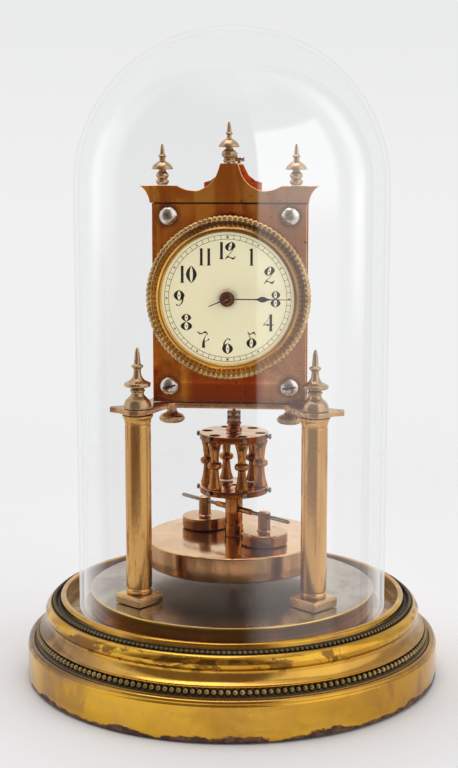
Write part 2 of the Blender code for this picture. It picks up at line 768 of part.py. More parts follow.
def hand(name, bore, boss, length, half, layer, angle, spade=()):
    """A ring round a tube and a thin shaft, half wide to each side. spade points are
    (distance from the centre, half width)."""
    steps = 14
    mouth = math.asin(half / boss)
    ring = [polar(boss, mouth + (2 * math.pi - 2 * mouth) * k / steps) for k in range(steps + 1)]
    lower = [(distance, -width) for distance, width in spade]
    lower.append((length - 0.6, -half * 0.7))
    upper = [(x, -y) for x, y in reversed(lower)]
    cos, sin = math.cos(angle), math.sin(angle)
    outline = [
        (x * cos - y * sin, x * sin + y * cos) for x, y in ring + lower + [(length, 0.0)] + upper
    ]
    flat(name, [outline, circle(bore, 12)], layer, BLUED, at=CENTRE)


def build_hour_hand():
    hand("hour_hand", bore=2.4, boss=3.7, length=10.0, half=0.28, layer=(-27.6, -26.9),
         angle=HOUR_ANGLE)


def build_minute_hand():
    """The shaft carries a pear-shaped spade."""
    half = 0.26
    middle, widest = 17.6, 1.55
    spade = [
        (middle - 4.6, half), (middle - 3.2, 0.6 * widest), (middle - 1.2, widest),
        (middle + 0.6, 0.92 * widest), (middle + 2.4, 0.5 * widest), (middle + 4.4, half),
    ]
    hand("minute_hand", bore=1.6, boss=3.6, length=31.0, half=half, layer=(-29.5, -28.7),
         angle=MINUTE_ANGLE, spade=spade)


# ================================================================================================
# winding arbor, click and anchor
# ================================================================================================
RATCHET_TIP_R, RATCHET_ROOT_R = 7.6, 6.5
RATCHET_Y0 = 7.4


def build_winding_arbor():
    """The ratchet wheel behind the back plate, with its shaft and square."""
    teeth = toothed(20, ((RATCHET_ROOT_R, -0.5), (RATCHET_TIP_R, 0.3)))
    winding = flat("winding_arbor", [teeth], (RATCHET_Y0, 9.0), STEEL, at=BARREL)
    radius, back = 2.5, 10.4
    shaft = [(0, PIVOT_Y0), (radius, PIVOT_Y0), (radius, back), (0, back)]
    unite(winding, turned_y("winding_shaft", shaft, 14, STEEL, BARREL, tool=True))
    x, z = BARREL
    half = 1.6
    low, high = (x - half, 10.0, z - half), (x + half, 15.0, z + half)
    unite(winding, box("winding_square", low, high, STEEL, tool=True))


def build_click():
    """A small lever on a stud in the back plate; its nose rests by the ratchet teeth."""
    nose_r = RATCHET_TIP_R + 0.45
    nose_width = 1.6
    hub_r = 2.1
    nose_angle = toward(BARREL, CLICK) + math.radians(38)
    nose = polar(nose_r, nose_angle, BARREL)
    nose_out = polar(nose_r + nose_width, nose_angle - math.radians(2), BARREL)
    lever_angle = toward(CLICK, nose)
    outline = [polar(hub_r, lever_angle + math.radians(turn)) for turn in range(70, 300, 25)]
    outline += [(x - CLICK[0], z - CLICK[1]) for x, z in (nose_out, nose)]
    click = flat("click", [outline], (RATCHET_Y0, 8.6), STEEL, at=CLICK)
    stud = [(0, 9.4), (1.5, 9.2), (1.7, 8.5), (1.7, 7.3), (0.8, 7.3), (0.8, 5.3), (0, 5.3)]
    unite(click, turned_y("click_stud", stud, 8, STEEL, CLICK, tool=True))


# right side of the anchor from the bottom up, (x, z) from its arbor
ANCHOR_SIDE = [
    (4.0, -3.5), (7.0, -5.3), (8.75, -7.4), (9.5, -8.3), (10.6, -7.4),
    (9.6, -5.4), (7.6, -3.0), (4.6, -1.0), (2.4, 0.6), (1.6, 1.9),
]
ANCHOR_TOP, ANCHOR_CROTCH = (0.0, 2.5), (0.0, -2.9)


def build_anchor():
    outline = ANCHOR_SIDE + [ANCHOR_TOP] + mirror(ANCHOR_SIDE) + [ANCHOR_CROTCH]
    anchor = flat("anchor", [outline], (-2.3, -1.1), STEEL, at=ANCHOR)
    radius, back = 1.0, 9.7
    shaft = [
        (0, PIVOT_Y0), (PIVOT_R, PIVOT_Y0), (PIVOT_R, SHOULDER_Y0), (radius, SHOULDER_Y0),
        (radius, back), (0, back),
    ]
    unite(anchor, turned_y("anchor_arbor", shaft, 8, STEEL, ANCHOR, tool=True))
    # upright pin from the back end of the arbor
    at = (0, PIN_Y, (PIN_TOP + ANCHOR[1]) / 2)
    unite(anchor, rod("anchor_pin", PIN_R, PIN_TOP - ANCHOR[1], 6, STEEL, at))


# ================================================================================================
# suspension
# ================================================================================================
def build_saddle():
    """A block behind the back plate with two cheeks, a small block between them and a cross pin."""
    low, high = (-5.2, BACK_Y1 + GAP, 246.4), (5.2, 9.3, 256.6)
    saddle = box("suspension_saddle", low, high, BRASS_PALE, bevel=0.3)
    for side, sign in SIDES:
        x0, x1 = sorted((sign * 1.9, sign * 3.3))
        low, high = (x0, 9.0, 252.4), (x1, 14.6, 259.5)
        unite(saddle, box("saddle_cheek_" + side, low, high, BRASS_PALE, tool=True))
    low, high = (-1.6, PENDULUM_Y - 1.7, 257.5), (1.6, PENDULUM_Y + 1.7, 262.0)
    unite(saddle, box("saddle_block", low, high, BRASS_PALE, tool=True))
    at = (0, PENDULUM_Y, 258.7)
    unite(saddle, rod("saddle_pin", 0.75, 8.2, 10, BRASS_PALE, at, along_x=True))


def build_suspension_spring():
    low = (-SPRING_HALF_W, PENDULUM_Y - SPRING_HALF_T, SPRING_BOTTOM)
    high = (SPRING_HALF_W, PENDULUM_Y + SPRING_HALF_T, SPRING_TOP)
    box("suspension_spring", low, high, STEEL)


def build_fork():
    """Two tines reach forward to either side of the anchor pin."""
    tine_end = PIN_Y - 1.3
    left_half = [
        (-2.1, PENDULUM_Y + 2.0), (-2.1, PENDULUM_Y - 2.0), (-1.45, PENDULUM_Y - 2.6),
        (-1.45, tine_end), (-0.80, tine_end), (-0.80, PENDULUM_Y - 2.2),
    ]
    flat(
        "suspension_fork",
        [left_half + mirror(left_half), circle(1.15, 8, at=(0, PENDULUM_Y))],
        (FORK_Z - FORK_HALF_T, FORK_Z + FORK_HALF_T),
        BRASS_PENDULUM,
        vertical=False,
    )


# ================================================================================================
# pendulum
# ================================================================================================
def build_hook():
    """A collar on the gallery, with a slotted block that holds the suspension spring."""
    bottom = GALLERY_TOP + GAP
    profile = [
        (0, 126.0), (3.8, 126.0), (3.0, 123.6), (4.2, 122.2), (4.0, bottom),
        (STUD_R, bottom), (STUD_R, 117.9), (0, 117.9),
    ]
    hook = turned("pendulum_hook", profile, 12, BRASS_RED, at=(0, PENDULUM_Y, 0))
    low, high = (-3.4, PENDULUM_Y - 2.3, 125.4), (3.4, PENDULUM_Y + 2.3, 132.2)
    unite(hook, box("hook_block", low, high, BRASS_RED, tool=True))
    low, high = (-1.1, PENDULUM_Y - 0.5, 128.9), (1.1, PENDULUM_Y + 0.5, 134.0)
    cut(hook, box("hook_slot", low, high, BRASS_RED, tool=True))


BALUSTER_ANGLES = [BALUSTER_START + k * 2 * math.pi / BALUSTER_COUNT for k in range(BALUSTER_COUNT)]


def build_gallery_rings():
    loops = [circle(GALLERY_R, 24), circle(STUD_HOLE_R, 8)]
    holes = [
        circle(BALUSTER_HOLE_R, 8, at=polar(BALUSTER_CIRCLE, angle)) for angle in BALUSTER_ANGLES
    ]
    upper = (GALLERY_TOP - RING_T, GALLERY_TOP)
    lower = (GALLERY_BOTTOM, GALLERY_BOTTOM + RING_T)
    for name, ring_loops, layer in (
        ("gallery_upper_ring", loops + holes, upper),
        ("gallery_lower_ring", loops, lower),
    ):
        flat(name, ring_loops, layer, BRASS_PENDULUM, at=(0, PENDULUM_Y), vertical=False)


def build_balusters():
    bottom = GALLERY_BOTTOM + RING_T + GAP
    top = GALLERY_TOP - RING_T - GAP
    middle = (bottom + top) / 2
    end, neck = 1.4, 4.4  # height of the end bands, and of the waists from the middle
    profile = [
        (0, top), (BALUSTER_R, top), (BALUSTER_R, top - end),
        (BALUSTER_WAIST_R, middle + neck), (BALUSTER_R, middle), (BALUSTER_WAIST_R, middle - neck),
        (BALUSTER_R, bottom + end), (BALUSTER_R, bottom), (0, bottom),
    ]
    for number, angle in enumerate(BALUSTER_ANGLES, 1):
        x, y = polar(BALUSTER_CIRCLE, angle, (0.0, PENDULUM_Y))
        turned("baluster_%d" % number, profile, 8, BRASS_PENDULUM, at=(x, y, 0))


def build_post():
    """The post stands on the disc, carries the gallery and is bored for the rate rod."""
    top = GALLERY_BOTTOM - GAP
    bottom = DISC_Z1 + GAP
    collar_r = POST_R + 0.3
    profile = [
        (0, 92.4), (STUD_R, 92.4), (STUD_R, top), (POST_R, top), (POST_R, 73.2),
        (collar_r, 72.6), (collar_r, bottom), (2.9, bottom), (2.9, 50.6), (0, 50.6),
    ]
    post = turned("pendulum_post", profile, 18, BRASS_PENDULUM, at=(0, PENDULUM_Y, 0))
    at = (0, PENDULUM_Y, ROD_Z)
    cut(post, rod("cut_post", 1.4, 14, 10, BRASS_PENDULUM, at, along_x=True, angle=ROD_ANGLE))


def build_disc():
    profile = [(DISC_BORE, DISC_Z1), (DISC_R, DISC_Z1), (DISC_R, DISC_Z0), (DISC_BORE, DISC_Z0)]
    turned("pendulum_disc", profile, 32, BRASS_PENDULUM, at=(0, PENDULUM_Y, 0), ring=True)


def build_rate_rod():
    """A level rod through the post, thicker between the post and each weight."""
    half = [(0, ROD_HALF), (1.0, ROD_HALF), (1.0, 13.8), (1.5, 13.4), (1.5, 5.4), (1.0, 5.1)]
    profile = half + [(radius, -height) for radius, height in reversed(half)]
    rate_rod = turned("rate_rod", profile, 8, STEEL, at=(0, PENDULUM_Y, ROD_Z))
    rate_rod.rotation_euler = (0, math.pi / 2, ROD_ANGLE)


def build_weight(side, sign):
    x, y = polar(sign * WEIGHT_AT, ROD_ANGLE, (0.0, PENDULUM_Y))
    bottom = DISC_Z1 + WEIGHT_LIFT
    top = bottom + WEIGHT_H
    profile = [
        (0, WEIGHT_NECK_TOP), (WEIGHT_NECK_R, WEIGHT_NECK_TOP), (WEIGHT_NECK_R, top),
        (WEIGHT_R, top), (WEIGHT_R, bottom), (0, bottom),
    ]
    weight = turned("weight_" + side, profile, 20, BRASS_PENDULUM, at=(x, y, 0))
    cut(weight, rod("cut_weight_" + side, 1.35, 10, 8, BRASS_PENDULUM, (x, y, ROD_Z),
                    along_x=True, angle=ROD_ANGLE))


# ================================================================================================
# glass dome: a cylinder under a hemisphere, open at the bottom
# ================================================================================================
def dome_arc(radius):
    """A quarter circle from the top of the dome down to its cylinder, (radius, height)."""
    angles = [math.pi / 2 * k / DOME_ARC_STEPS for k in range(DOME_ARC_STEPS + 1)]
    centre_z = DOME_TOP - DOME_R
    return [(radius * math.sin(a), centre_z + radius * math.cos(a)) for a in angles]


def build_dome():
    inner_r = DOME_R - DOME_WALL
    walls = [(DOME_R, DOME_BOTTOM), (inner_r, DOME_BOTTOM)]
    turned("glass_dome", dome_arc(DOME_R) + walls + dome_arc(inner_r)[::-1], 24, GLASS)


# ================================================================================================
# assembly
# ================================================================================================
for build in (
    build_base_shell, build_base_bottom, build_base_plate, build_platform,
    build_front_plate, build_back_plate, build_pediment, build_centre_finial,
    build_dial_bezel, build_dial_plate,
    build_barrel, build_mainspring, build_second_wheel, build_third_wheel,
    build_centre_wheel, build_escape_wheel,
    build_cannon_pinion, build_minute_wheel, build_hour_wheel, build_hour_hand, build_minute_hand,
    build_winding_arbor, build_click, build_anchor,
    build_saddle, build_suspension_spring, build_fork,
    build_hook, build_gallery_rings, build_balusters, build_post, build_disc, build_rate_rod,
    build_dome,
):
    build()

for side_name, side_sign in SIDES:
    for build in (
        build_column_foot, build_column, build_column_finial, build_thumb_nut,
        build_side_finial, build_weight,
    ):
        build(side_name, side_sign)

for corner_name, corner_x, corner_z in CORNERS:
    build_pillar(corner_name, corner_x, corner_z)
    build_plate_screw(corner_name, corner_x, corner_z)
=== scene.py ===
"""Looks of the anniversary clock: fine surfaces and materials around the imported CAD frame.

A torsion pendulum hangs below a dial on two columns, on a round base under a glass dome. The base is
centred on the origin. Lengths are millimetres unless a name says otherwise; +X is the dial reader's
right, the dial faces -Y and +Z is up.
"""

import math
import random
from functools import cached_property

import bmesh
import bpy
from mathutils import Matrix, Vector
from mathutils.geometry import tessellate_polygon


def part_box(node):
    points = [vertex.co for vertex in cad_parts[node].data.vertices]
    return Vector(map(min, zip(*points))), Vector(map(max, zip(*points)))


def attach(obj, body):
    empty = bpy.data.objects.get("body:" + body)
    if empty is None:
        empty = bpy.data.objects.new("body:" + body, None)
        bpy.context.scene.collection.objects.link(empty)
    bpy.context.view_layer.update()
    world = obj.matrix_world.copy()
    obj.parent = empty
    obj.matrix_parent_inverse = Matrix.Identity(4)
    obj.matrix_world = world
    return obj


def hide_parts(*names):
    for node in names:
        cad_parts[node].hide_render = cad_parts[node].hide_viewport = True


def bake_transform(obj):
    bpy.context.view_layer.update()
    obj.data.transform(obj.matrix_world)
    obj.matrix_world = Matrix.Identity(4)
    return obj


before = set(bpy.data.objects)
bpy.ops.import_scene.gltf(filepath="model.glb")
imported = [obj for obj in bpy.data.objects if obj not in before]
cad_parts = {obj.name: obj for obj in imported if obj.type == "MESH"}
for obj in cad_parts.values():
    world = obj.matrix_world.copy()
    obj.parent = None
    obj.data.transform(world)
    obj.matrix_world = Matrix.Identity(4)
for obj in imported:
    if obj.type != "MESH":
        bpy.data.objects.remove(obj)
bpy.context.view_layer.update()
MM = 0.001
TAU = 2 * math.pi
CLOCK = bpy.data.collections.new("clock_looks")
bpy.context.scene.collection.children.link(CLOCK)


def node_centre(name):
    low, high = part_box(name)
    return (low + high) / 2 * 1000


# ---- places, read from the frame -----------------------------------------------------------------
SIDES = ("left", "right")
CORNERS = ("low_left", "low_right", "high_left", "high_right")
BEZEL = node_centre("dial_bezel")
DIAL_X, DIAL_Z = BEZEL.x, BEZEL.z
PENDULUM = node_centre("pendulum_disc")
PEND_X, PEND_Y = PENDULUM.x, PENDULUM.y
COLUMNS = {side: node_centre("column_" + side) for side in SIDES}
NUTS = {side: node_centre("thumb_nut_" + side) for side in SIDES}
SCREWS = {corner: node_centre("plate_screw_" + corner) for corner in CORNERS}
WEIGHTS = {side: node_centre("weight_" + side) for side in SIDES}
ON_DIAL = {"at": (DIAL_X, 0, DIAL_Z), "axis": "Y"}  # a lathe axis through the dial's centre

# Only the lower two plate screws show their slots.
SLOT_TILT = {"low_left": math.radians(14), "low_right": math.radians(9)}


# ==================================================================================================
# shader nodes
# ==================================================================================================
class Value:
    """An output socket. Arithmetic on it adds Math nodes."""

    def __init__(self, shader, socket):
        self.shader, self.socket = shader, socket

    def __add__(self, other):
        return self.shader.math("ADD", self, other)

    def __radd__(self, other):
        return self.shader.math("ADD", other, self)

    def __sub__(self, other):
        return self.shader.math("SUBTRACT", self, other)

    def __rsub__(self, other):
        return self.shader.math("SUBTRACT", other, self)

    def __mul__(self, other):
        return self.shader.math("MULTIPLY", self, other)

    def __rmul__(self, other):
        return self.shader.math("MULTIPLY", other, self)

    def map(self, start, end, low=0.0, high=1.0):
        """Eases from low to high as the value goes from start to end, and stays there."""
        inputs = dict(enumerate((self, start, end, low, high)))
        return self.shader.node("MapRange", inputs, interpolation_type="SMOOTHSTEP", clamp=True)

    def band(self, start, end, soft):
        """1 between start and end, fading over soft on both sides of each."""
        return self.map(start - soft, start + soft) * self.map(end - soft, end + soft, 1.0, 0.0)


class Shader:
    """Short names for the nodes of one material or world. Places are in mm, in the frame's axes."""

    def __init__(self, owner, output="OutputMaterial"):
        self.owner = owner
        owner.use_nodes = True
        self.tree = owner.node_tree
        self.tree.nodes.clear()
        self.output = self.make(output)

    def put(self, socket, value):
        if isinstance(value, Value):
            self.tree.links.new(value.socket, socket)
        elif isinstance(value, tuple) and len(value) == 3 and len(socket.default_value) == 4:
            socket.default_value = (*value, 1.0)
        else:
            socket.default_value = value

    def make(self, kind, inputs=None, **settings):
        """A new node. An input given as None keeps its own default."""
        made = self.tree.nodes.new("ShaderNode" + kind)
        for key, value in settings.items():
            setattr(made, key, value)
        for key, value in (inputs or {}).items():
            if value is not None:
                self.put(made.inputs[key], value)
        return made

    def node(self, kind, inputs=None, output=0, **settings):
        return Value(self, self.make(kind, inputs, **settings).outputs[output])

    def finish(self, shader):
        self.put(self.output.inputs[0], shader)
        return self.owner

    @cached_property
    def place(self):
        co = self.node("TexCoord", output="Object")
        return self.node("VectorMath", {0: co, "Scale": 1000.0}, operation="SCALE")

    @cached_property
    def xyz(self):
        return self.split(self.place)

    def split(self, vector):
        return [Value(self, socket) for socket in self.make("SeparateXYZ", {0: vector}).outputs]

    def math(self, operation, first, second=0.0):
        return self.node("Math", {0: first, 1: second}, operation=operation)

    def top(self, first, second):
        return self.math("MAXIMUM", first, second)

    def vec(self, x, y, z):
        return self.node("CombineXYZ", {0: x, 1: y, 2: z})

    def stretch(self, x, y, z):
        return self.node("VectorMath", {0: self.place, 1: (x, y, z)}, operation="MULTIPLY")

    def noise(self, scale, detail=3.0, rough=0.6, at=None, distort=0.0):
        inputs = {
            "Vector": self.place if at is None else at,
            "Scale": scale,
            "Detail": detail,
            "Roughness": rough,
            "Distortion": distort,
        }
        return self.node("TexNoise", inputs)

    def mix(self, amount, first, second, kind="MIX"):
        """Colours, from first to second."""
        inputs = {0: amount, 6: first, 7: second}
        return self.node("Mix", inputs, output=2, data_type="RGBA", blend_type=kind)

    def mixf(self, amount, first, second):
        """Numbers, from first to second."""
        return self.node("Mix", {0: amount, 2: first, 3: second}, data_type="FLOAT")

    def mix_shaders(self, amount, first, second):
        return self.node("MixShader", {0: amount, 1: first, 2: second})

    def offsets(self, centre_a, centre_b, plane):
        x, y, z = self.xyz
        return x - centre_a, (y if plane == "xy" else z) - centre_b

    def length(self, across, other):
        return self.math("SQRT", across * across + other * other)

    def radius(self, centre_a, centre_b, plane="xy"):
        """Distance from an axis square to the plane."""
        return self.length(*self.offsets(centre_a, centre_b, plane))

    def polar(self, centre_x, centre_y):
        """(radius, angle in radians) about an upright axis."""
        across, other = self.offsets(centre_x, centre_y, "xy")
        return self.length(across, other), self.math("ARCTAN2", other, across)

    def around(self, angle, size, height):
        """A place on a cylinder of radius size, so that noise closes on itself."""
        return self.vec(
            self.math("COSINE", angle) * size, self.math("SINE", angle) * size, height
        )

    def compass(self, x, y, z):
        """(azimuth, elevation) of a direction in degrees: 0 towards the viewer, 90 to the right."""
        azimuth = self.math("ARCTAN2", x, y * -1.0) * (180 / math.pi)
        return azimuth, self.math("ARCSINE", z) * (180 / math.pi)

    def bump(self, height, strength, depth, normal=None):
        inputs = {"Strength": strength, "Distance": depth * MM, "Height": height, "Normal": normal}
        return self.node("Bump", inputs)

    def surface(
        self, colour, rough, metallic=1.0, normal=None, coat=0.0, coat_rough=0.1, glow=None
    ):
        """Ends the material in a principled surface, which shines its own colour if glow is set."""
        inputs = {
            "Base Color": colour,
            "Roughness": rough,
            "Metallic": metallic,
            "Coat Weight": coat,
            "Coat Roughness": coat_rough,
            "Normal": normal,
            "Emission Color": colour if glow else None,
            "Emission Strength": glow,
        }
        return self.finish(self.node("BsdfPrincipled", inputs))


def new_material(name):
    return Shader(bpy.data.materials.new(name))


def scaled(colour, factor):
    return tuple(channel * factor for channel in colour)


# ==================================================================================================
# materials: in every map() the first two numbers are where an effect starts and is full
# ==================================================================================================
def aged(
    name, bright, dull, stain, rough,
    turned=None, stain_at=0.62, soft=0.07, vertical=0.0, scale=0.055, grime=0.0, painted_shade=None,
):
    """Old brass: bright, dull in soft patches, stained with an edge, finely worn and pitted.

    turned gives the axis of lathe rings as (centre, centre, plane); vertical stretches patches
    upright; the last argument paints shade, a dark reflection, over one side of a ring: (centre x,
    centre z, degrees towards it, colour).
    """
    mat = new_material(name)
    patches = mat.stretch(1, 1, 1.0 / (1.0 + vertical))
    wide = mat.noise(scale, detail=4, at=patches, distort=0.6)
    fine = mat.noise(0.9, detail=5, rough=0.65)
    colour = mat.mix(wide.map(0.38, 0.62), bright, dull)
    spot = mat.noise(scale * 2.3, detail=5, rough=0.62, at=patches, distort=1.2)
    mask = (spot + (fine - 0.5) * 0.12).map(stain_at, stain_at + soft)
    colour = mat.mix(mask, colour, stain)
    flecks = mat.noise(1.7, detail=2, rough=0.5).map(0.70, 0.78)
    colour = mat.mix(flecks * 0.55, colour, scaled(stain, 0.35))
    # painted shade: one side of the ring is darkened to stand for a dark reflection, with a patchy
    # edge
    if painted_shade:
        centre_x, centre_z, degrees, painted_shade_colour = painted_shade
        x, _, z = mat.xyz
        bearing = math.radians(degrees)
        toward = (x - centre_x) * math.cos(bearing) + (z - centre_z) * math.sin(bearing)
        toward = toward + (wide - 0.5) * 26.0
        colour = mat.mix(toward.map(-16.0, 24.0, 0.0, 0.85), colour, painted_shade_colour)
    if grime:
        # dirt everywhere but on rubbed convex edges
        worn = mat.node("NewGeometry", output="Pointiness").map(0.44, 0.505)
        colour = mat.mix((1.0 - worn) * grime, colour, scaled(stain, 0.28))
    if turned:
        radius = mat.radius(*turned)
        along = mat.xyz[2 if turned[2] == "xy" else 1]
        rings = mat.noise(1.0, at=mat.vec(radius * 5.0, along * 5.0, 0.0))
    else:
        rings = mat.noise(1.0, at=mat.stretch(6.0, 6.0, 0.35))
    roughness = rough + (fine - 0.5) * 0.22 + mask * 0.16
    roughness = mat.top(roughness + (rings - 0.5) * 0.08, 0.04)
    normal = mat.bump(rings, strength=0.05, depth=0.02)
    normal = mat.bump(mat.noise(0.16, rough=0.5), strength=0.10, depth=0.35, normal=normal)
    normal = mat.bump(flecks * -1.0, strength=0.25, depth=0.04, normal=normal)
    return mat.surface(colour, roughness, normal=normal)


def base_material():
    """Polished gold brass with brown tarnish, painted dark reflections on the cushion and on the
    sides of the roll and cove, black bead channels and a worn lower edge.
    """
    mat = new_material("base_brass_aged")
    x, _, z = mat.xyz
    radius, angle = mat.polar(0.0, 0.0)
    around = mat.around(angle, 100.0, z * 1.6)
    wide = mat.noise(0.018, detail=4, rough=0.55, at=around, distort=0.8)
    fine = mat.noise(0.8, detail=5, rough=0.65)
    gold = mat.mix(wide.map(0.36, 0.66), (0.80, 0.455, 0.050), (0.60, 0.31, 0.035))
    # a rosier tarnish towards the left and on the roll and cove
    left = x.map(-30.0, -96.0)
    rosy = mat.noise(0.03, detail=4, at=around, distort=0.5).map(0.40, 0.62)
    gold = mat.mix(rosy * (0.10 + left * 0.80), gold, (0.50, 0.29, 0.14))
    roll = z.band(19.2, 20.8, soft=0.5)
    gold = mat.mix(roll * (0.35 + left * 0.6), gold, (0.27, 0.155, 0.085))
    cove = z.band(24.6, 29.5, soft=0.9)
    gold = mat.mix(cove * (0.30 + left * 0.45), gold, (0.48, 0.27, 0.12))
    # brown stains with hard edges, mostly on the cushion, and a painted dark reflection on the
    # cushion
    stain = mat.noise(0.045, detail=5, at=around, distort=1.6)
    stain = (stain + (fine - 0.5) * 0.08).map(0.56, 0.62)
    stain = stain * (0.10 + z.band(30.0, 37.0, soft=0.6) * 0.75)
    # painted reflection of the dark room in front: a ragged dark brown patch across the middle and
    # left of the cushion
    painted_room_reflection_place = mat.around(angle, 100.0, z * 3.2)
    painted_room_reflection = mat.noise(0.020, detail=6, rough=0.66, at=painted_room_reflection_place, distort=2.2)
    painted_room_reflection = (painted_room_reflection + (fine - 0.5) * 0.05).map(0.525, 0.560)
    painted_room_reflection = painted_room_reflection * (z.band(30.6, 36.6, soft=0.7) * x.map(62.0, 20.0, 0.15, 0.85))
    # from here stain holds both the brown stains and the painted reflection
    stain = mat.top(stain, painted_room_reflection)
    gold = mat.mix(stain, gold, (0.165, 0.075, 0.020))
    # soft upright clouds on the skirt, strongest at its two sides
    cloud_place = mat.around(angle, 100.0, z * 0.35)
    cloud = mat.noise(0.040, detail=4, at=cloud_place, distort=0.7).map(0.44, 0.62)
    outward = mat.math("ABSOLUTE", x).map(35.0, 98.0, 0.15, 0.75)
    cloud = cloud * (z.band(4.0, 18.5, soft=1.5) * outward)
    gold = mat.mix(cloud, gold, (0.33, 0.165, 0.055))
    # painted dark reflections on both sides of the roll and cove, the left one most
    painted_dark_sides = x.map(-40.0, -90.0, 0.0, 0.85) + x.map(55.0, 98.0, 0.0, 0.55)
    patchy = mat.noise(0.045, detail=5, rough=0.62, at=around, distort=0.9)
    painted_dark_sides = painted_dark_sides * (z.band(17.6, 30.5, soft=1.2) * patchy.map(0.34, 0.58, 0.35, 1.0))
    gold = mat.mix(painted_dark_sides, gold, (0.125, 0.062, 0.026))
    # the top of the rim is brown
    patchy = mat.noise(0.03, detail=4, at=around, distort=0.8)
    brow = z.band(37.5, 41.5, soft=0.8) * patchy.map(0.36, 0.62, 0.25, 0.85)
    gold = mat.mix(brow, gold, (0.36, 0.185, 0.045))
    pits = mat.noise(1.1, detail=2, rough=0.5).map(0.69, 0.76)
    gold = mat.mix(pits * 0.5, gold, (0.10, 0.05, 0.02))
    # bead channels
    big = radius.band(95.5, 100.0, soft=0.5) * z.band(19.9, 23.6, soft=0.5)
    small = radius.band(87.2, 92.1, soft=0.3) * z.band(36.7, 39.2, soft=0.35)
    black = mat.top(big, small) * mat.noise(0.35, at=around).map(0.22, 0.42, 0.7, 1.0)
    # lower edge, worn through to a dark brown
    ragged = mat.noise(0.030, detail=5, rough=0.62, at=around, distort=0.4) * 14.0
    ragged = ragged + mat.noise(0.35) * 1.2
    edge = (z - (ragged - 4.9)).map(-0.35, 0.35, 1.0, 0.0)
    edge = edge * radius.map(101.0, 102.0)
    rust = mat.noise(0.25, detail=4).map(0.42, 0.60)
    rust = mat.mix(rust, (0.085, 0.040, 0.028), (0.20, 0.10, 0.055))
    colour = mat.mix(edge, gold, rust)
    colour = mat.mix(black, colour, (0.042, 0.028, 0.013))
    # the groove that the glass stands in is stained darker
    groove = radius.band(60.0, 84.9, soft=0.4) * z.map(40.8, 39.0)
    groove = groove * mat.noise(0.05, detail=4, at=around).map(0.38, 0.60, 0.55, 0.95)
    colour = mat.mix(groove, colour, (0.20, 0.105, 0.028))
    dirty = mat.top(black, edge)
    rings = mat.noise(1.0, at=mat.vec(radius * 4.0, z * 4.0, angle * 2.0))
    rough = 0.145 + (fine - 0.5) * 0.14
    rough = rough + (dirty * 0.34 + stain * 0.10)
    rough = mat.top(rough + (rings - 0.5) * 0.06, 0.05)
    normal = mat.bump(rings, strength=0.04, depth=0.02)
    waves = mat.noise(0.07, rough=0.5, at=around)
    normal = mat.bump(waves, strength=0.16, depth=0.9, normal=normal)
    normal = mat.bump((edge + pits) * -1.0, strength=0.3, depth=0.10, normal=normal)
    return mat.surface(colour, rough, metallic=1.0 - dirty * 0.45, normal=normal)


def bead_material(name, row_radius, size, brightness=1.0):
    """Cast beads: rubbed bright on the outside, black in the roots with dirt and painted shade."""
    mat = new_material(name)
    radius, angle = mat.polar(0.0, 0.0)
    out = radius.map(row_radius - 0.15 * size, row_radius + 0.75 * size)
    rubbed = mat.noise(0.02, detail=2, rough=0.5, at=mat.around(angle, 100.0, 0.0))
    rubbed = rubbed.map(0.35, 0.6, 0.55, 1.0)
    fine = mat.noise(1.6, detail=4)
    dull, bright = (0.26, 0.18, 0.070), (0.54, 0.39, 0.17)
    brass = mat.mix(fine, scaled(dull, brightness), scaled(bright, brightness))
    # the roots, next to the channel, are near-black: dirt and painted shade
    colour = mat.mix(out * rubbed, (0.050, 0.045, 0.020), brass)
    normal = mat.bump(fine, strength=0.3, depth=0.06)
    return mat.surface(colour, 0.22 + fine * 0.25, mat.mixf(out, 0.5, 1.0), normal)


def silvered_material():
    """The inner plate: greyed brass with a satin, wiped surface."""
    mat = new_material("silvered_plate_aged")
    wide = mat.noise(0.028, detail=4, distort=1.0)
    fine = mat.noise(0.7, detail=5, rough=0.65)
    colour = mat.mix(wide.map(0.38, 0.62), (0.50, 0.43, 0.35), (0.35, 0.295, 0.24))
    rim = mat.radius(0.0, 0.0).map(70.9, 71.6)
    colour = mat.mix(rim, colour, (0.74, 0.50, 0.13))
    side = mat.xyz[2].map(43.4, 43.0)
    colour = mat.mix(side, colour, (0.56, 0.245, 0.018))
    specks = mat.noise(1.3, detail=2, rough=0.5).map(0.68, 0.74)
    colour = mat.mix(specks * 0.35, colour, (0.12, 0.10, 0.09))
    wipe = mat.noise(1.0, at=mat.stretch(0.25, 3.0, 1.0))
    rough = 0.20 + (wide - 0.5) * 0.25 + (wipe - 0.5) * 0.12
    rough = mat.top(mat.mixf(rim, rough + fine * 0.05, 0.12), 0.06)
    normal = mat.bump(wipe, strength=0.05, depth=0.02)
    waves = mat.noise(0.05, detail=2, rough=0.5)
    normal = mat.bump(waves, strength=0.08, depth=0.5, normal=normal)
    return mat.surface(colour, rough, normal=normal)


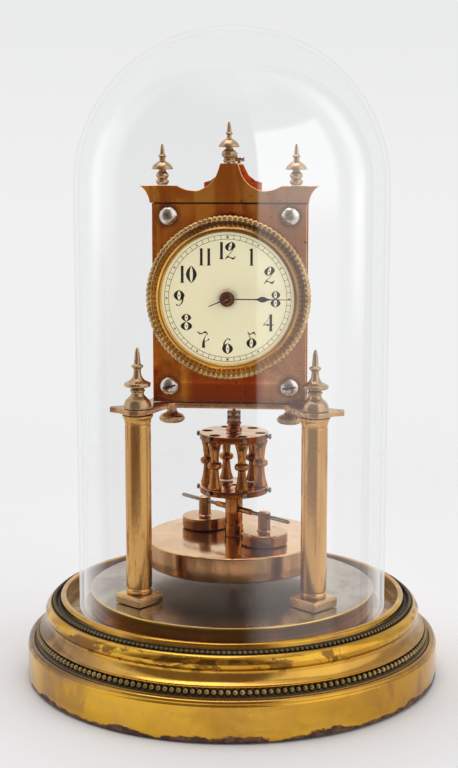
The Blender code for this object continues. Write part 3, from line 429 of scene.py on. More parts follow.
def plate_material(name, dark, warm, pale):
    """Lacquered brass plate: red-brown with upright streaks, greyer and spotted on the right."""
    mat = new_material(name)
    x, _, z = mat.xyz
    streak = mat.noise(0.10, detail=4, at=mat.stretch(1.0, 1.0, 0.10), distort=0.4)
    wide = mat.noise(0.035, detail=4, distort=0.8)
    fine = mat.noise(0.9, detail=5, rough=0.65)
    colour = mat.mix(streak.map(0.42, 0.58), dark, warm)
    colour = mat.mix(wide.map(0.45, 0.66) * 0.6, colour, scaled(warm, 1.25))
    right = (x + (wide - 0.5) * 30.0).map(6.0, 30.0) * 0.75
    colour = mat.mix(right, colour, pale)
    blotch = mat.noise(0.16, detail=5, rough=0.65, distort=1.4)
    dirt = (blotch + (fine - 0.5) * 0.14).map(0.61, 0.66)
    dirt = dirt * x.map(-20.0, 24.0, 0.35, 0.8)
    # a redder field low in the middle
    red = (z + wide * 22.0).map(192.0, 160.0)
    red = red * (x + (streak - 0.5) * 8.0).band(-19.0, 16.0, soft=3.0)
    colour = mat.mix(red * 0.88, colour, (dark[0] * 0.80, dark[1] * 0.30, 0.0))
    # dirt lies thickest along the foot and top of the plate and round the four screws
    foot = (z - fine * 5.0).map(139.5, 143.0, 0.55, 0.0)
    dirt = mat.top(dirt, foot)
    seam = (z - (fine - 0.5) * 0.5).band(237.9, 238.75, soft=0.18)
    dirt = mat.top(dirt, seam * 0.9)
    for corner in CORNERS:
        screw = SCREWS[corner]
        distance = mat.radius(screw.x, screw.z, "xz")
        ring = (distance + (fine - 0.5) * 2.5).map(4.4, 7.4, 0.6, 0.0) * 1.0
        dirt = mat.top(dirt, ring)
    colour = mat.mix(dirt, colour, (0.055, 0.030, 0.020))
    specks = mat.noise(1.5, detail=2, rough=0.5).map(0.69, 0.75)
    colour = mat.mix(specks * 0.45, colour, (0.42, 0.30, 0.22))
    grain = mat.noise(1.0, at=mat.stretch(7.0, 7.0, 0.3))
    rough = 0.20 + ((fine - 0.5) * 0.20 + dirt * 0.22)
    rough = mat.top(rough + right * 0.10, 0.05)
    normal = mat.bump(grain, strength=0.05, depth=0.02)
    waves = mat.noise(0.10, rough=0.5, at=mat.stretch(1.0, 1.0, 0.4))
    normal = mat.bump(waves, strength=0.10, depth=0.5, normal=normal)
    return mat.surface(colour, rough, normal=normal)


def steel_material(name, colour, rough, pitted):
    mat = new_material(name)
    fine = mat.noise(1.2, detail=5, rough=0.65)
    pits = mat.noise(1.1, detail=4, rough=0.7).map(0.56, 0.66) * pitted
    steel = mat.mix(mat.noise(0.25).map(0.35, 0.65), colour, scaled(colour, 0.72))
    steel = mat.mix(pits, steel, scaled(colour, 0.22))
    lines = mat.noise(1.0, at=mat.stretch(6.0, 1.0, 6.0))
    roughness = mat.top(rough + (fine - 0.5) * 0.2 + pits * 0.3, 0.05)
    normal = mat.bump(lines, strength=0.06, depth=0.02)
    normal = mat.bump(pits * -1.0, strength=0.4, depth=0.06, normal=normal)
    return mat.surface(steel, roughness, normal=normal)


def cap_material():
    """The plate screws: worn nickel, with a painted reflection of the dark room as mottled dark spots
    in the middle, a worn darker rim, and dirt in the lower two slots.
    """
    mat = new_material("cap_nickel_worn")
    x, _, z = mat.xyz
    fine = mat.noise(1.2, detail=5, rough=0.65)
    blot = mat.noise(0.55, detail=4, rough=0.65, distort=0.8)
    colour = mat.mix(mat.noise(0.25).map(0.35, 0.65), (0.84, 0.78, 0.72), (0.66, 0.60, 0.54))
    worn, dirt = 0.0, 0.0
    for corner in CORNERS:
        screw = SCREWS[corner]
        distance = mat.radius(screw.x, screw.z, "xz")
        # painted reflection of the dark room in front: the middle of each dome is darkened in mottled
        # patches
        patchy = (blot + (fine - 0.5) * 0.2).map(0.36, 0.56, 0.25, 0.95)
        worn = mat.top(worn, distance.map(3.3, 1.0) * patchy)
        rim = distance.band(4.25, 5.2, soft=0.25) * blot.map(0.40, 0.60, 0.3, 0.9)
        worn = mat.top(worn, rim)
        if corner in SLOT_TILT:
            tilt = SLOT_TILT[corner]
            across = (x - screw.x) * -math.sin(tilt) + (z - screw.z) * math.cos(tilt)
            slot = mat.math("ABSOLUTE", across).map(0.50, 0.36) * distance.map(3.5, 3.1)
            dirt = mat.top(dirt, slot)
    # worn holds the painted reflection in the middle and the worn rim
    colour = mat.mix(worn, colour, (0.20, 0.155, 0.125))
    colour = mat.mix(dirt, colour, (0.030, 0.022, 0.018))
    rough = mat.top(0.20 + (fine - 0.5) * 0.2 + mat.top(worn, dirt) * 0.25, 0.05)
    normal = mat.bump(blot, strength=0.22, depth=0.20)
    normal = mat.bump(fine, strength=0.12, depth=0.05, normal=normal)
    return mat.surface(colour, rough, metallic=1.0 - dirt * 0.8, normal=normal)


def enamel_material():
    """Cream enamel under a gloss coat, browner round the rim, and darkened round the centre by dirt
    and a painted shadow of the hands' boss.

    It gives off a little light of its own, so it stays luminous in shade.
    """
    mat = new_material("dial_enamel_aged")
    radius = mat.radius(DIAL_X, DIAL_Z, "xz")
    wide = mat.noise(0.05)
    cream = mat.mix(wide.map(0.35, 0.65), (0.95, 0.90, 0.62), (0.93, 0.87, 0.575))
    ragged = mat.noise(0.35, detail=4, rough=0.65, distort=1.0)
    # dirt and a painted shadow of the boss, in a ragged ring round the centre
    boss_shadow_and_dirt = (radius + (ragged - 0.5) * 2.2).map(3.6, 6.0, 0.50, 0.0) * 1.0
    cream = mat.mix(boss_shadow_and_dirt, cream, (0.33, 0.25, 0.17))
    cream = mat.mix(radius.map(30.8, 32.2, 0.0, 0.35), cream, (0.52, 0.46, 0.32))
    specks = mat.noise(1.1, detail=2, rough=0.5).map(0.73, 0.78)
    cream = mat.mix(specks * 0.35, cream, (0.40, 0.32, 0.22))
    normal = mat.bump(mat.noise(0.12, rough=0.5), strength=0.05, depth=0.2)
    rough = 0.22 + wide * 0.12
    return mat.surface(
        cream, rough, metallic=0.0, normal=normal, coat=0.35, coat_rough=0.06, glow=0.37
    )


def print_material(name, scale, wear, black, bare):
    """Black print that wears to a bare colour in patches; wear is where that starts and is full."""
    mat = new_material(name)
    worn = mat.noise(scale, detail=4, rough=0.7)
    colour = mat.mix(worn.map(*wear), black, bare)
    normal = mat.bump(worn, strength=0.1, depth=0.02)
    return mat.surface(colour, 0.3 + worn * 0.2, metallic=0.0, normal=normal)


def wood_material():
    mat = new_material("base_wood_dark")
    grain = mat.noise(0.35, detail=5, at=mat.stretch(1.0, 0.08, 1.0), distort=0.6)
    rings = mat.noise(0.05, at=mat.stretch(1.0, 0.2, 1.0), distort=1.5)
    colour = mat.mix(grain.map(0.35, 0.65), (0.060, 0.034, 0.020), (0.15, 0.085, 0.045))
    colour = mat.mix(rings.map(0.4, 0.6) * 0.4, colour, (0.040, 0.022, 0.014))
    normal = mat.bump(grain, strength=0.35, depth=0.15)
    return mat.surface(colour, 0.5 + grain * 0.2, metallic=0.0, normal=normal)


def glass_material():
    """Thin clear glass. Light passes straight through, and each wall glows with a painted reflection
    of a studio:
    a dark room in front, a tall soft light to the right, pale paper all round. The painted reflection
    grows toward the outline."""
    mat = new_material("dome_glass_clear")
    _, y, z = mat.xyz
    dust = mat.noise(0.35, detail=5, rough=0.7)
    wobble = mat.noise(0.012, detail=2, rough=0.5, at=mat.stretch(1.0, 1.0, 0.35))
    wobble = (wobble - 0.5) * 9.0
    reflection = mat.split(mat.node("TexCoord", output="Reflection"))
    azimuth, elevation = mat.compass(*reflection)
    azimuth, elevation = azimuth + wobble, elevation + wobble
    light = 0.84  # the pale paper
    front = y.map(10.0, -10.0)
    # the dark room; its right edge is sharper high on the dome
    right_edge = mat.mixf(
        z.map(70.0, 150.0), azimuth.map(12.0, 40.0, 1.0, 0.0), azimuth.map(22.0, 25.0, 1.0, 0.0)
    )
    room = azimuth.map(-122.0, -84.0) * right_edge
    room = room * front * elevation.map(52.0, 74.0, 1.0, 0.35)
    light = mat.mixf(room, light, 0.06)
    # the soft light, with a dimmer strip above it
    left_edge = mat.mixf(z.map(70.0, 150.0), azimuth.map(12.0, 40.0), azimuth.map(22.0, 25.0))
    box = front * (left_edge * azimuth.map(84.0, 90.0, 1.0, 0.0))
    box_level = mat.mixf(z.map(225.0, 250.0), 1.22, 2.3)
    light = mat.mixf(box * elevation.map(38.0, 41.0, 1.0, 0.0), light, box_level)
    above = elevation.map(41.0, 43.0) * elevation.map(60.0, 75.0, 1.0, 0.0)
    light = mat.mixf(box * above, light, 0.45)
    # bright bands near both outlines, high on the dome
    high = z.map(150.0, 250.0) * z.map(270.0, 304.0, 1.0, 0.0)
    high = high * mat.noise(0.03, at=mat.stretch(1.0, 1.0, 0.5)).map(0.30, 0.60, 0.45, 1.0)
    light = light + azimuth.band(-116.0, -103.0, soft=7.0) * high * 1.35
    light = light + azimuth.band(104.0, 115.0, soft=7.0) * high * 1.05
    # a dark line and fine streaks at the sides
    light = mat.mixf(azimuth.band(121.0, 127.0, soft=2.0) * 0.8, light, 0.15)
    streak = mat.noise(0.22, at=mat.vec(azimuth, 0.0, 0.0))
    side = mat.math("ABSOLUTE", azimuth).map(70.0, 100.0)
    light = light * (1.0 + side * ((streak - 0.5) * 0.45))
    facing = mat.node("LayerWeight", {"Blend": 0.5}, output="Facing")
    painted_reflection_weight = 0.038 + 0.80 * mat.math("POWER", facing, 4.6)
    tint = mat.mix(facing.map(0.86, 1.0), (0.994, 0.995, 0.994), (0.70, 0.715, 0.725))
    clear = mat.node("BsdfTransparent", {0: tint})
    # the painted reflection: an emission at the studio level worked out above, not a mirror
    painted_studio_reflection = mat.node("Emission", {0: (0.985, 0.99, 1.0), 1: light})
    glass = mat.mix_shaders(painted_reflection_weight, clear, painted_studio_reflection)
    film = mat.node("BsdfDiffuse", {"Color": (0.9, 0.9, 0.9)})
    return mat.finish(mat.mix_shaders(0.0008 + dust.map(0.60, 0.80) * 0.0035, glass, film))


def pendulum_material(name, top, side, painted_shade_under, bands):
    """Rose-gold brass, painted lit and shaded by the way it faces: polished and painted bright on its
    flat tops, browner and painted darker with upright bands on its sides, painted in shade
    underneath.

    bands is the scale of the noise that makes the bands.
    """
    mat = new_material(name)
    z = mat.xyz[2]
    radius, angle = mat.polar(PEND_X, PEND_Y)
    wide = mat.noise(0.05, detail=4, distort=0.6)
    fine = mat.noise(0.9, detail=5, rough=0.65)
    # painted light and shade by facing: upward faces take the bright top colour, upright faces the
    # darker side colour, downward faces the shaded colour
    up = mat.split(mat.node("NewGeometry", output="Normal"))[2]
    painted_lit_top = mat.mix(wide.map(0.36, 0.64), top, scaled(top, 0.86))
    banding = mat.noise(bands, at=mat.around(angle, 10.0, z * 0.05))
    edge = mat.mix(banding.map(0.34, 0.64), side, scaled(side, 1.9))
    colour = mat.mix(up.map(0.30, 0.75), edge, painted_lit_top)
    colour = mat.mix(up.map(-0.30, -0.75), colour, painted_shade_under)
    stain = mat.noise(0.12, detail=5, rough=0.62, distort=1.2)
    stain = (stain + (fine - 0.5) * 0.12).map(0.63, 0.68)
    colour = mat.mix(stain * 0.7, colour, (0.34, 0.13, 0.04))
    rings = mat.noise(1.0, at=mat.vec(radius * 5.0, z * 5.0, 0.0))
    rough = 0.14 + ((fine - 0.5) * 0.16 + (rings - 0.5) * 0.08)
    rough = mat.top(rough + up.map(0.75, 0.30) * 0.05, 0.05)
    normal = mat.bump(rings, strength=0.05, depth=0.02)
    normal = mat.bump(mat.noise(0.14, rough=0.5), strength=0.08, depth=0.3, normal=normal)
    return mat.surface(colour, rough, normal=normal)


BASE_BRASS = base_material()
BIG_BEADS = bead_material("bead_brass_big", row_radius=98.0, size=1.5)
SMALL_BEADS = bead_material("bead_brass_small", row_radius=90.0, size=1.1, brightness=0.62)
SILVERED = silvered_material()
COLUMN_BRASS = {
    side: aged(
        "column_brass_" + side,
        bright=(0.74, 0.42, 0.135), dull=(0.62, 0.32, 0.095), stain=(0.42, 0.12, 0.022),
        rough=0.21, turned=(COLUMNS[side].x, COLUMNS[side].y, "xy"), vertical=9.0,
        scale=0.085, stain_at=0.53, soft=0.16,
    )
    for side in SIDES
}
PALE_BRASS = aged(
    "finial_brass", bright=(0.62, 0.425, 0.245), dull=(0.46, 0.30, 0.165),
    stain=(0.20, 0.10, 0.05), rough=0.25, scale=0.14, grime=0.45,
)
PLATFORM_BRASS = aged(
    "platform_brass", bright=(0.66, 0.40, 0.20), dull=(0.48, 0.25, 0.12),
    stain=(0.24, 0.085, 0.045), rough=0.25, scale=0.07, stain_at=0.60,
)
FOOT_BRASS = aged(
    "foot_brass", bright=(0.76, 0.50, 0.235), dull=(0.60, 0.375, 0.17),
    stain=(0.36, 0.19, 0.08), rough=0.24, scale=0.06, soft=0.14,
)
RED_LACQUER = plate_material(
    "lacquered_plate_aged",
    dark=(0.62, 0.145, 0.008), warm=(0.95, 0.36, 0.036), pale=(0.80, 0.42, 0.23),
)
CREST_LACQUER = plate_material(
    "lacquered_crest_aged",
    dark=(0.70, 0.200, 0.012), warm=(0.96, 0.42, 0.060), pale=(0.80, 0.45, 0.25),
)
GEAR_BRASS = aged(
    "gear_brass_aged", bright=(0.78, 0.58, 0.26), dull=(0.64, 0.44, 0.18),
    stain=(0.30, 0.16, 0.06), rough=0.24, scale=0.12,
)
BEZEL_CAST = aged(
    "bezel_cast_brass", bright=(0.70, 0.475, 0.20), dull=(0.50, 0.31, 0.115),
    stain=(0.22, 0.10, 0.035), rough=0.27, scale=0.14, grime=0.50,
)
# the polished ring has painted shade, a dark reflection, over its upper right
BEZEL_POLISHED = aged(
    "bezel_polished_brass", bright=(0.92, 0.52, 0.10), dull=(0.76, 0.40, 0.075),
    stain=(0.28, 0.13, 0.03), rough=0.15, turned=(DIAL_X, DIAL_Z, "xz"), scale=0.06,
    stain_at=0.66, painted_shade=(DIAL_X, DIAL_Z, 48.0, (0.24, 0.125, 0.050)),
)
# each pendulum brass is given as a painted lit top colour, a darker side colour and a painted shade
# colour for undersides
DISC_BRASS = pendulum_material(
    "pendulum_brass_disc",
    top=(0.95, 0.59, 0.31), side=(0.30, 0.160, 0.072), painted_shade_under=(0.16, 0.085, 0.045), bands=0.35,
)
WEIGHT_BRASS = pendulum_material(
    "pendulum_brass_weight",
    top=(0.84, 0.49, 0.25), side=(0.185, 0.080, 0.030), painted_shade_under=(0.20, 0.10, 0.05), bands=0.30,
)
GALLERY_BRASS = pendulum_material(
    "pendulum_brass_gallery",
    top=(0.85, 0.50, 0.26), side=(0.15, 0.035, 0.004), painted_shade_under=(0.30, 0.11, 0.03), bands=0.30,
)
AMBER_BRASS = aged(
    "pendulum_brass_amber", bright=(0.46, 0.185, 0.042), dull=(0.29, 0.100, 0.020),
    stain=(0.16, 0.05, 0.010), rough=0.12, scale=0.09, stain_at=0.62,
)
COPPER = aged(
    "hook_copper_brown", bright=(0.44, 0.19, 0.11), dull=(0.28, 0.105, 0.06),
    stain=(0.09, 0.035, 0.025), rough=0.16, scale=0.22, grime=0.4,
)
NICKEL = steel_material("nickelled_steel", (0.74, 0.71, 0.68), rough=0.20, pitted=0.55)
CAP_NICKEL = cap_material()
STEEL = steel_material("worked_steel", (0.46, 0.44, 0.43), rough=0.28, pitted=0.45)
DARK_STEEL = steel_material("rod_dark_steel", (0.34, 0.27, 0.22), rough=0.28, pitted=0.35)
BLUED_STEEL = steel_material("blued_steel_aged", (0.035, 0.040, 0.060), rough=0.26, pitted=0.3)
BOSS_COPPER = aged(
    "boss_copper", bright=(0.27, 0.12, 0.070), dull=(0.17, 0.070, 0.045),
    stain=(0.06, 0.03, 0.02), rough=0.28, scale=0.30, grime=0.35,
)
ENAMEL = enamel_material()
BLACK_PRINT = print_material(
    "dial_black", scale=0.9, wear=(0.50, 0.74), black=(0.018, 0.014, 0.012), bare=(0.11, 0.09, 0.065)
)
FAINT_PRINT = print_material(
    "dial_track_black", scale=0.5, wear=(0.42, 0.66), black=(0.055, 0.045, 0.034),
    bare=(0.24, 0.20, 0.13),
)
WOOD = wood_material()
GLASS = glass_material()


# ==================================================================================================
# geometry helpers
# ==================================================================================================
def sharpen(mesh, degrees):
    """Smooth shading that keeps edges steeper than an angle."""
    mesh.shade_smooth()
    mesh.set_sharp_from_angle(angle=math.radians(degrees))


def linked(name, mesh):
    obj = bpy.data.objects.new(name, mesh)
    CLOCK.objects.link(obj)
    return obj


def finished(name, verts, faces, mat, angle=35.0):
    """A piece from vertices in mm and faces, facing out, smooth between its sharp edges."""
    mesh = bpy.data.meshes.new(name)
    mesh.from_pydata([(x * MM, y * MM, z * MM) for x, y, z in verts], [], faces)
    bm = bmesh.new()
    bm.from_mesh(mesh)
    bmesh.ops.recalc_face_normals(bm, faces=bm.faces)
    bm.to_mesh(mesh)
    bm.free()
    sharpen(mesh, angle)
    mesh.materials.append(mat)
    return linked(name, mesh)


def rounded(profile, steps):
    """Rounds the corners of a profile. A point is (radius, height) or (.., .., corner rounding)."""
    out = []
    for i, (radius, height, *corner) in enumerate(profile):
        if not corner:
            out.append((radius, height))
            continue
        before, after = profile[i - 1], profile[(i + 1) % len(profile)]
        length_in = math.hypot(before[0] - radius, before[1] - height)
        length_out = math.hypot(after[0] - radius, after[1] - height)
        reach = min(corner[0], 0.48 * length_in, 0.48 * length_out)
        start, end = [
            (
                radius + (other[0] - radius) / length * reach,
                height + (other[1] - height) / length * reach,
            )
            for other, length in ((before, length_in), (after, length_out))
        ]
        for k in range(steps + 1):
            t = k / steps
            out.append(
                tuple(
                    (1 - t) ** 2 * a + 2 * t * (1 - t) * mid + t * t * b
                    for a, mid, b in zip(start, (radius, height), end)
                )
            )
    return out


def skin(rows, closed=False):
    """Faces between neighbouring closed rows of vertices; a row of one vertex is a pole."""
    faces = []
    for low, high in zip(rows, rows[1:] + (rows[:1] if closed else [])):
        count = max(len(low), len(high))
        for k in range(count):
            j = (k + 1) % count
            if len(low) == 1:
                faces.append((low[0], high[k], high[j]))
            elif len(high) == 1:
                faces.append((low[k], low[j], high[0]))
            else:
                faces.append((low[k], low[j], high[j], high[k]))
    return faces


def lathe(
    name, profile, steps, mat,
    at=(0.0, 0.0, 0.0), axis="Z", ring=False, rounding=3, wave=None, angle=35.0,
):
    """A turned form about an axis through at. Heights run along the axis. A ring's profile closes on
    itself. wave(angle, radius, height) may return a changed (radius, height)."""
    verts, rows = [], []
    for radius, height in rounded(profile, rounding):
        first = len(verts)
        for k in range(steps if radius > 1e-5 else 1):
            turn = TAU * k / steps
            r, h = wave(turn, radius, height) if wave else (radius, height)
            across, other = math.cos(turn) * r, math.sin(turn) * r
            offset = (across, other, h) if axis == "Z" else (across, h, other)
            verts.append(tuple(start + step for start, step in zip(at, offset)))
        rows.append(range(first, len(verts)))
    return finished(name, verts, skin(rows, ring), mat, angle)


def smooth_line(points, sharp=(), steps=5):
    """A Catmull-Rom line through the points that keeps the corners whose indices are in sharp."""
    last = len(points) - 1
    out = []
    for i in range(last):
        p1, p2 = points[i], points[i + 1]
        p0 = p1 if i == 0 or i in sharp else points[i - 1]
        p3 = p2 if i + 1 == last or i + 1 in sharp else points[i + 2]
        for k in range(steps):
            t = k / steps
            out.append(
                tuple(
                    0.5 * (
                        2 * b + (c - a) * t + (2 * a - 5 * b + 4 * c - d) * t * t
                        + (3 * b - a - 3 * c + d) * t**3
                    )
                    for a, b, c, d in zip(p0, p1, p2, p3)
                )
            )
    out.append(points[-1])
    return out


def mirrored(line):
    """A closed outline from its right half."""
    return line + [(-x, other) for x, other in reversed(line)]


def circle(radius, count, at=(0.0, 0.0)):
    turns = [TAU * k / count for k in range(count)]
    return [(at[0] + radius * math.cos(a), at[1] + radius * math.sin(a)) for a in turns]


def area_of(loop):
    return 0.5 * sum(a[0] * b[1] - b[0] * a[1] for a, b in zip(loop, loop[1:] + loop[:1]))


def tidy(loop):
    """The loop without repeated or in-line points."""
    apart = [p for k, p in enumerate(loop) if math.dist(p, loop[k - 1]) > 1e-4]
    keep = []
    for k, p in enumerate(apart):
        a, b = apart[k - 1], apart[(k + 1) % len(apart)]
        cross = (p[0] - a[0]) * (b[1] - p[1]) - (p[1] - a[1]) * (b[0] - p[0])
        if abs(cross) > 1e-7:
            keep.append(p)
    return keep


def moved_in(loop, distance):
    """Each point moved to the left of the way round, square to both of its sides."""

    def left_of(start, end):
        along = (end[0] - start[0], end[1] - start[1])
        length = math.hypot(*along)
        return -along[1] / length, along[0] / length

    out = []
    for k, p in enumerate(loop):
        n1 = left_of(loop[k - 1], p)
        n2 = left_of(p, loop[(k + 1) % len(loop)])
        dot = max(0.35, (1 + n1[0] * n2[0] + n1[1] * n2[1]))
        out.append(tuple(c + (a + b) / dot * distance for c, a, b in zip(p, n1, n2)))
    return out


def sheet(name, loops, low, high, mat, bevel, upright=True, segments=3):
    """A plate cut to outlines (the first is the outside, the rest are holes), with rounded edges.

    Upright plates lie in xz between y = low and high; others in xy between z = low and high.
    """
    edge = []  # (level, inset) of the rounded lower edge, from the wall to the face
    for j in range(segments + 1):
        turn = math.pi / 2 * j / segments
        edge.append((low + bevel * (1 - math.sin(turn)), bevel * (1 - math.cos(turn))))
    levels = edge[::-1] + [(high + low - level, inset) for level, inset in edge]
    verts, faces, caps = [], [], {0: [], len(levels) - 1: []}
    for i, loop in enumerate(loops):
        loop = tidy(loop)
        if (area_of(loop) > 0) != (i == 0):
            loop = loop[::-1]
        rows = []
        for j, (level, inset) in enumerate(levels):
            outline = moved_in(loop, inset) if inset > 1e-6 else loop
            first = len(verts)
            verts += [(a, level, b) if upright else (a, b, level) for a, b in outline]
            rows.append(range(first, len(verts)))
            if j in caps:
                caps[j].append((rows[-1], outline))
        faces += skin(rows)
    for rings in caps.values():
        index = [vert for row, _ in rings for vert in row]
        flat = [[Vector((a, b, 0)) for a, b in outline] for _, outline in rings]
        faces += [tuple(index[v] for v in triangle) for triangle in tessellate_polygon(flat)]
    return finished(name, verts, faces, mat)


def block(name, low, high, mat, bevel=0.3, segments=3, turn=0.0):
    """A box with rounded edges, turned about its own upright axis."""
    mesh = bpy.data.meshes.new(name)
    bm = bmesh.new()
    bmesh.ops.create_cube(bm, size=1.0)
    bmesh.ops.scale(bm, vec=[(b - a) * MM for a, b in zip(low, high)], verts=bm.verts)
    bmesh.ops.bevel(
        bm, geom=list(bm.edges), offset=bevel * MM, segments=segments, profile=0.5, affect="EDGES"
    )
    middle = [(a + b) / 2 * MM for a, b in zip(low, high)]
    matrix = Matrix.Translation(middle) @ Matrix.Rotation(turn, 4, "Z")
    bmesh.ops.transform(bm, matrix=matrix, verts=bm.verts)
    bm.to_mesh(mesh)
    bm.free()
    sharpen(mesh, 40)
    mesh.materials.append(mat)
    return linked(name, mesh)


def joined(name, parts):
    """One piece from several, each keeping its own material slots."""
    slots = []
    bm = bmesh.new()
    for part in parts:
        for polygon in part.data.polygons:
            polygon.material_index += len(slots)
        slots += part.data.materials
        bm.from_mesh(part.data)
    mesh = bpy.data.meshes.new(name)
    bm.to_mesh(mesh)
    bm.free()
    for mat in slots:
        mesh.materials.append(mat)
    for part in parts:
        old = part.data
        bpy.data.objects.remove(part, do_unlink=True)
        bpy.data.meshes.remove(old)
    return linked(name, mesh)


def cut(obj, cutter):
    """Takes the cutter's shape out of the piece and removes the cutter."""
    modifier = obj.modifiers.new("cut", "BOOLEAN")
    modifier.operation = "DIFFERENCE"
    modifier.object = cutter
    modifier.solver = "EXACT"
    bpy.context.view_layer.update()
    graph = bpy.context.evaluated_depsgraph_get()
    mesh = bpy.data.meshes.new_from_object(obj.evaluated_get(graph))
    mesh.name = obj.name
    obj.modifiers.clear()
    old = obj.data
    obj.data = mesh
    bpy.data.meshes.remove(old)
    bpy.data.objects.remove(cutter, do_unlink=True)
    sharpen(mesh, 35)


def turned_to(obj, at, direction):
    """Points a form made along +Z at the origin in a direction, and moves it there."""
    turn = Vector(direction).to_track_quat("Z", "Y").to_matrix().to_4x4()
    obj.data.transform(Matrix.Translation([c * MM for c in at]) @ turn)
    return obj


def mount(obj, body, slot, *nodes):
    """Tells the frame which body the piece moves with and the nodes it replaces; the colour slot is
    not used.
    """
    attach(obj, body)
    if nodes:
        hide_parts(*nodes)


# ==================================================================================================
# base. Profiles of turned pieces are rows of (radius, height, corner rounding); a point without
# the third number stays sharp.
# ==================================================================================================
BASE_PROFILE = [
    (84.2, 41.3, 0.4), (85.2, 41.5, 0.4), (86.2, 41.5, 0.5), (87.05, 40.7, 0.5),
    (87.2, 39.3, 0.6), (87.7, 38.1, 0.3), (88.9, 37.6, 0.5), (91.2, 37.5, 0.2),
    (91.7, 37.9, 0.2), (92.6, 37.3, 0.9), (94.2, 35.7, 1.3), (94.9, 33.8, 1.3),
    (94.4, 31.7, 1.0), (93.5, 30.8, 0.25), (93.7, 28.8, 1.0), (94.9, 26.6, 1.4),
    (97.0, 25.0, 0.9), (98.0, 24.7, 0.25), (97.9, 24.3, 0.2), (97.0, 23.9, 0.3),
    (96.9, 21.4, 0.8), (97.9, 19.9, 0.6), (99.9, 19.5, 0.25), (100.3, 20.0, 0.3),
    (101.6, 20.4, 0.7), (103.0, 19.9, 0.7), (103.5, 18.9, 0.5), (103.4, 18.3, 0.15),
    (104.0, 17.7, 0.4), (104.0, 1.1, 0.5), (103.5, 0.6, 0.3), (102.4, 0.6, 0.2),
    (102.4, 17.0, 0.2), (92.4, 28.0, 0.2), (86.0, 32.6, 0.2), (70.0, 32.6, 0.2),
    (70.0, 34.2, 0.2), (84.2, 34.2, 0.5),
]
BASE_PLATE_PROFILE = [
    (0, 44.0), (70.9, 44.0, 0.3), (71.7, 43.9, 0.3), (72.0, 43.3, 0.3), (71.7, 42.6, 0.3),
    (71.7, 34.5, 0.2), (70.4, 34.5, 0.2), (70.4, 42.2, 0.2), (0, 42.2),
]


def dented(angle, radius, height):
    """The skirt is a little out of round."""
    if radius < 100 or height > 18.5:
        return radius, height
    dent = 0.10 * math.sin(3 * angle + 0.6) + 0.07 * math.sin(7 * angle + 2.1)
    dent += 0.05 * math.sin(13 * angle)
    return radius + min(0.0, dent - 0.12), height


def beads(name, count, radius, height, size, mat, squash):
    """A ring of touching beads of slightly varied size; squash scales their height."""
    rng = random.Random(count)
    verts, faces = [], []
    rows, columns = 6, 10
    for k in range(count):
        turn = TAU * (k + 0.5) / count
        cos, sin = math.cos(turn), math.sin(turn)
        vary = 1.0 + rng.uniform(-0.07, 0.07)
        first = len(verts)
        for i in range(rows + 1):
            tilt = math.pi * i / rows
            level = height + size * squash * vary * math.cos(tilt)
            for j in range(1 if i in (0, rows) else columns):
                spin = TAU * j / columns
                out = radius + size * vary * math.sin(tilt) * math.cos(spin)
                along = size * vary * math.sin(tilt) * math.sin(spin) * 0.94
                verts.append((cos * out - sin * along, sin * out + cos * along, level))
        last = len(verts) - 1
        belts = [range(a, a + columns) for a in range(first + 1, last, columns)]
        for j in range(columns):
            m = (j + 1) % columns
            faces.append((first, belts[0][j], belts[0][m]))
            faces.append((belts[-1][m], belts[-1][j], last))
        for upper, lower in zip(belts, belts[1:]):
            for j in range(columns):
                m = (j + 1) % columns
                faces.append((upper[j], lower[j], lower[m], upper[m]))
    return finished(name, verts, faces, mat, 60)


shell = lathe(
    "base_shell_fine", BASE_PROFILE, 360, BASE_BRASS, ring=True, rounding=4, wave=dented, angle=50
)
mount(shell, "frame", "base_brass", "base_shell")
lower_beads = beads(
    "bead_row_lower", 190, radius=98.05, height=22.25, size=1.52, mat=BIG_BEADS, squash=1.02
)
mount(lower_beads, "frame", "base_brass")
upper_beads = beads(
    "bead_row_upper", 232, radius=90.0, height=38.25, size=1.08, mat=SMALL_BEADS, squash=0.95
)
mount(upper_beads, "frame", "base_brass")
base_plate = lathe("base_plate_fine", BASE_PLATE_PROFILE, 256, SILVERED)
mount(base_plate, "frame", "silvered_plate", "base_plate")

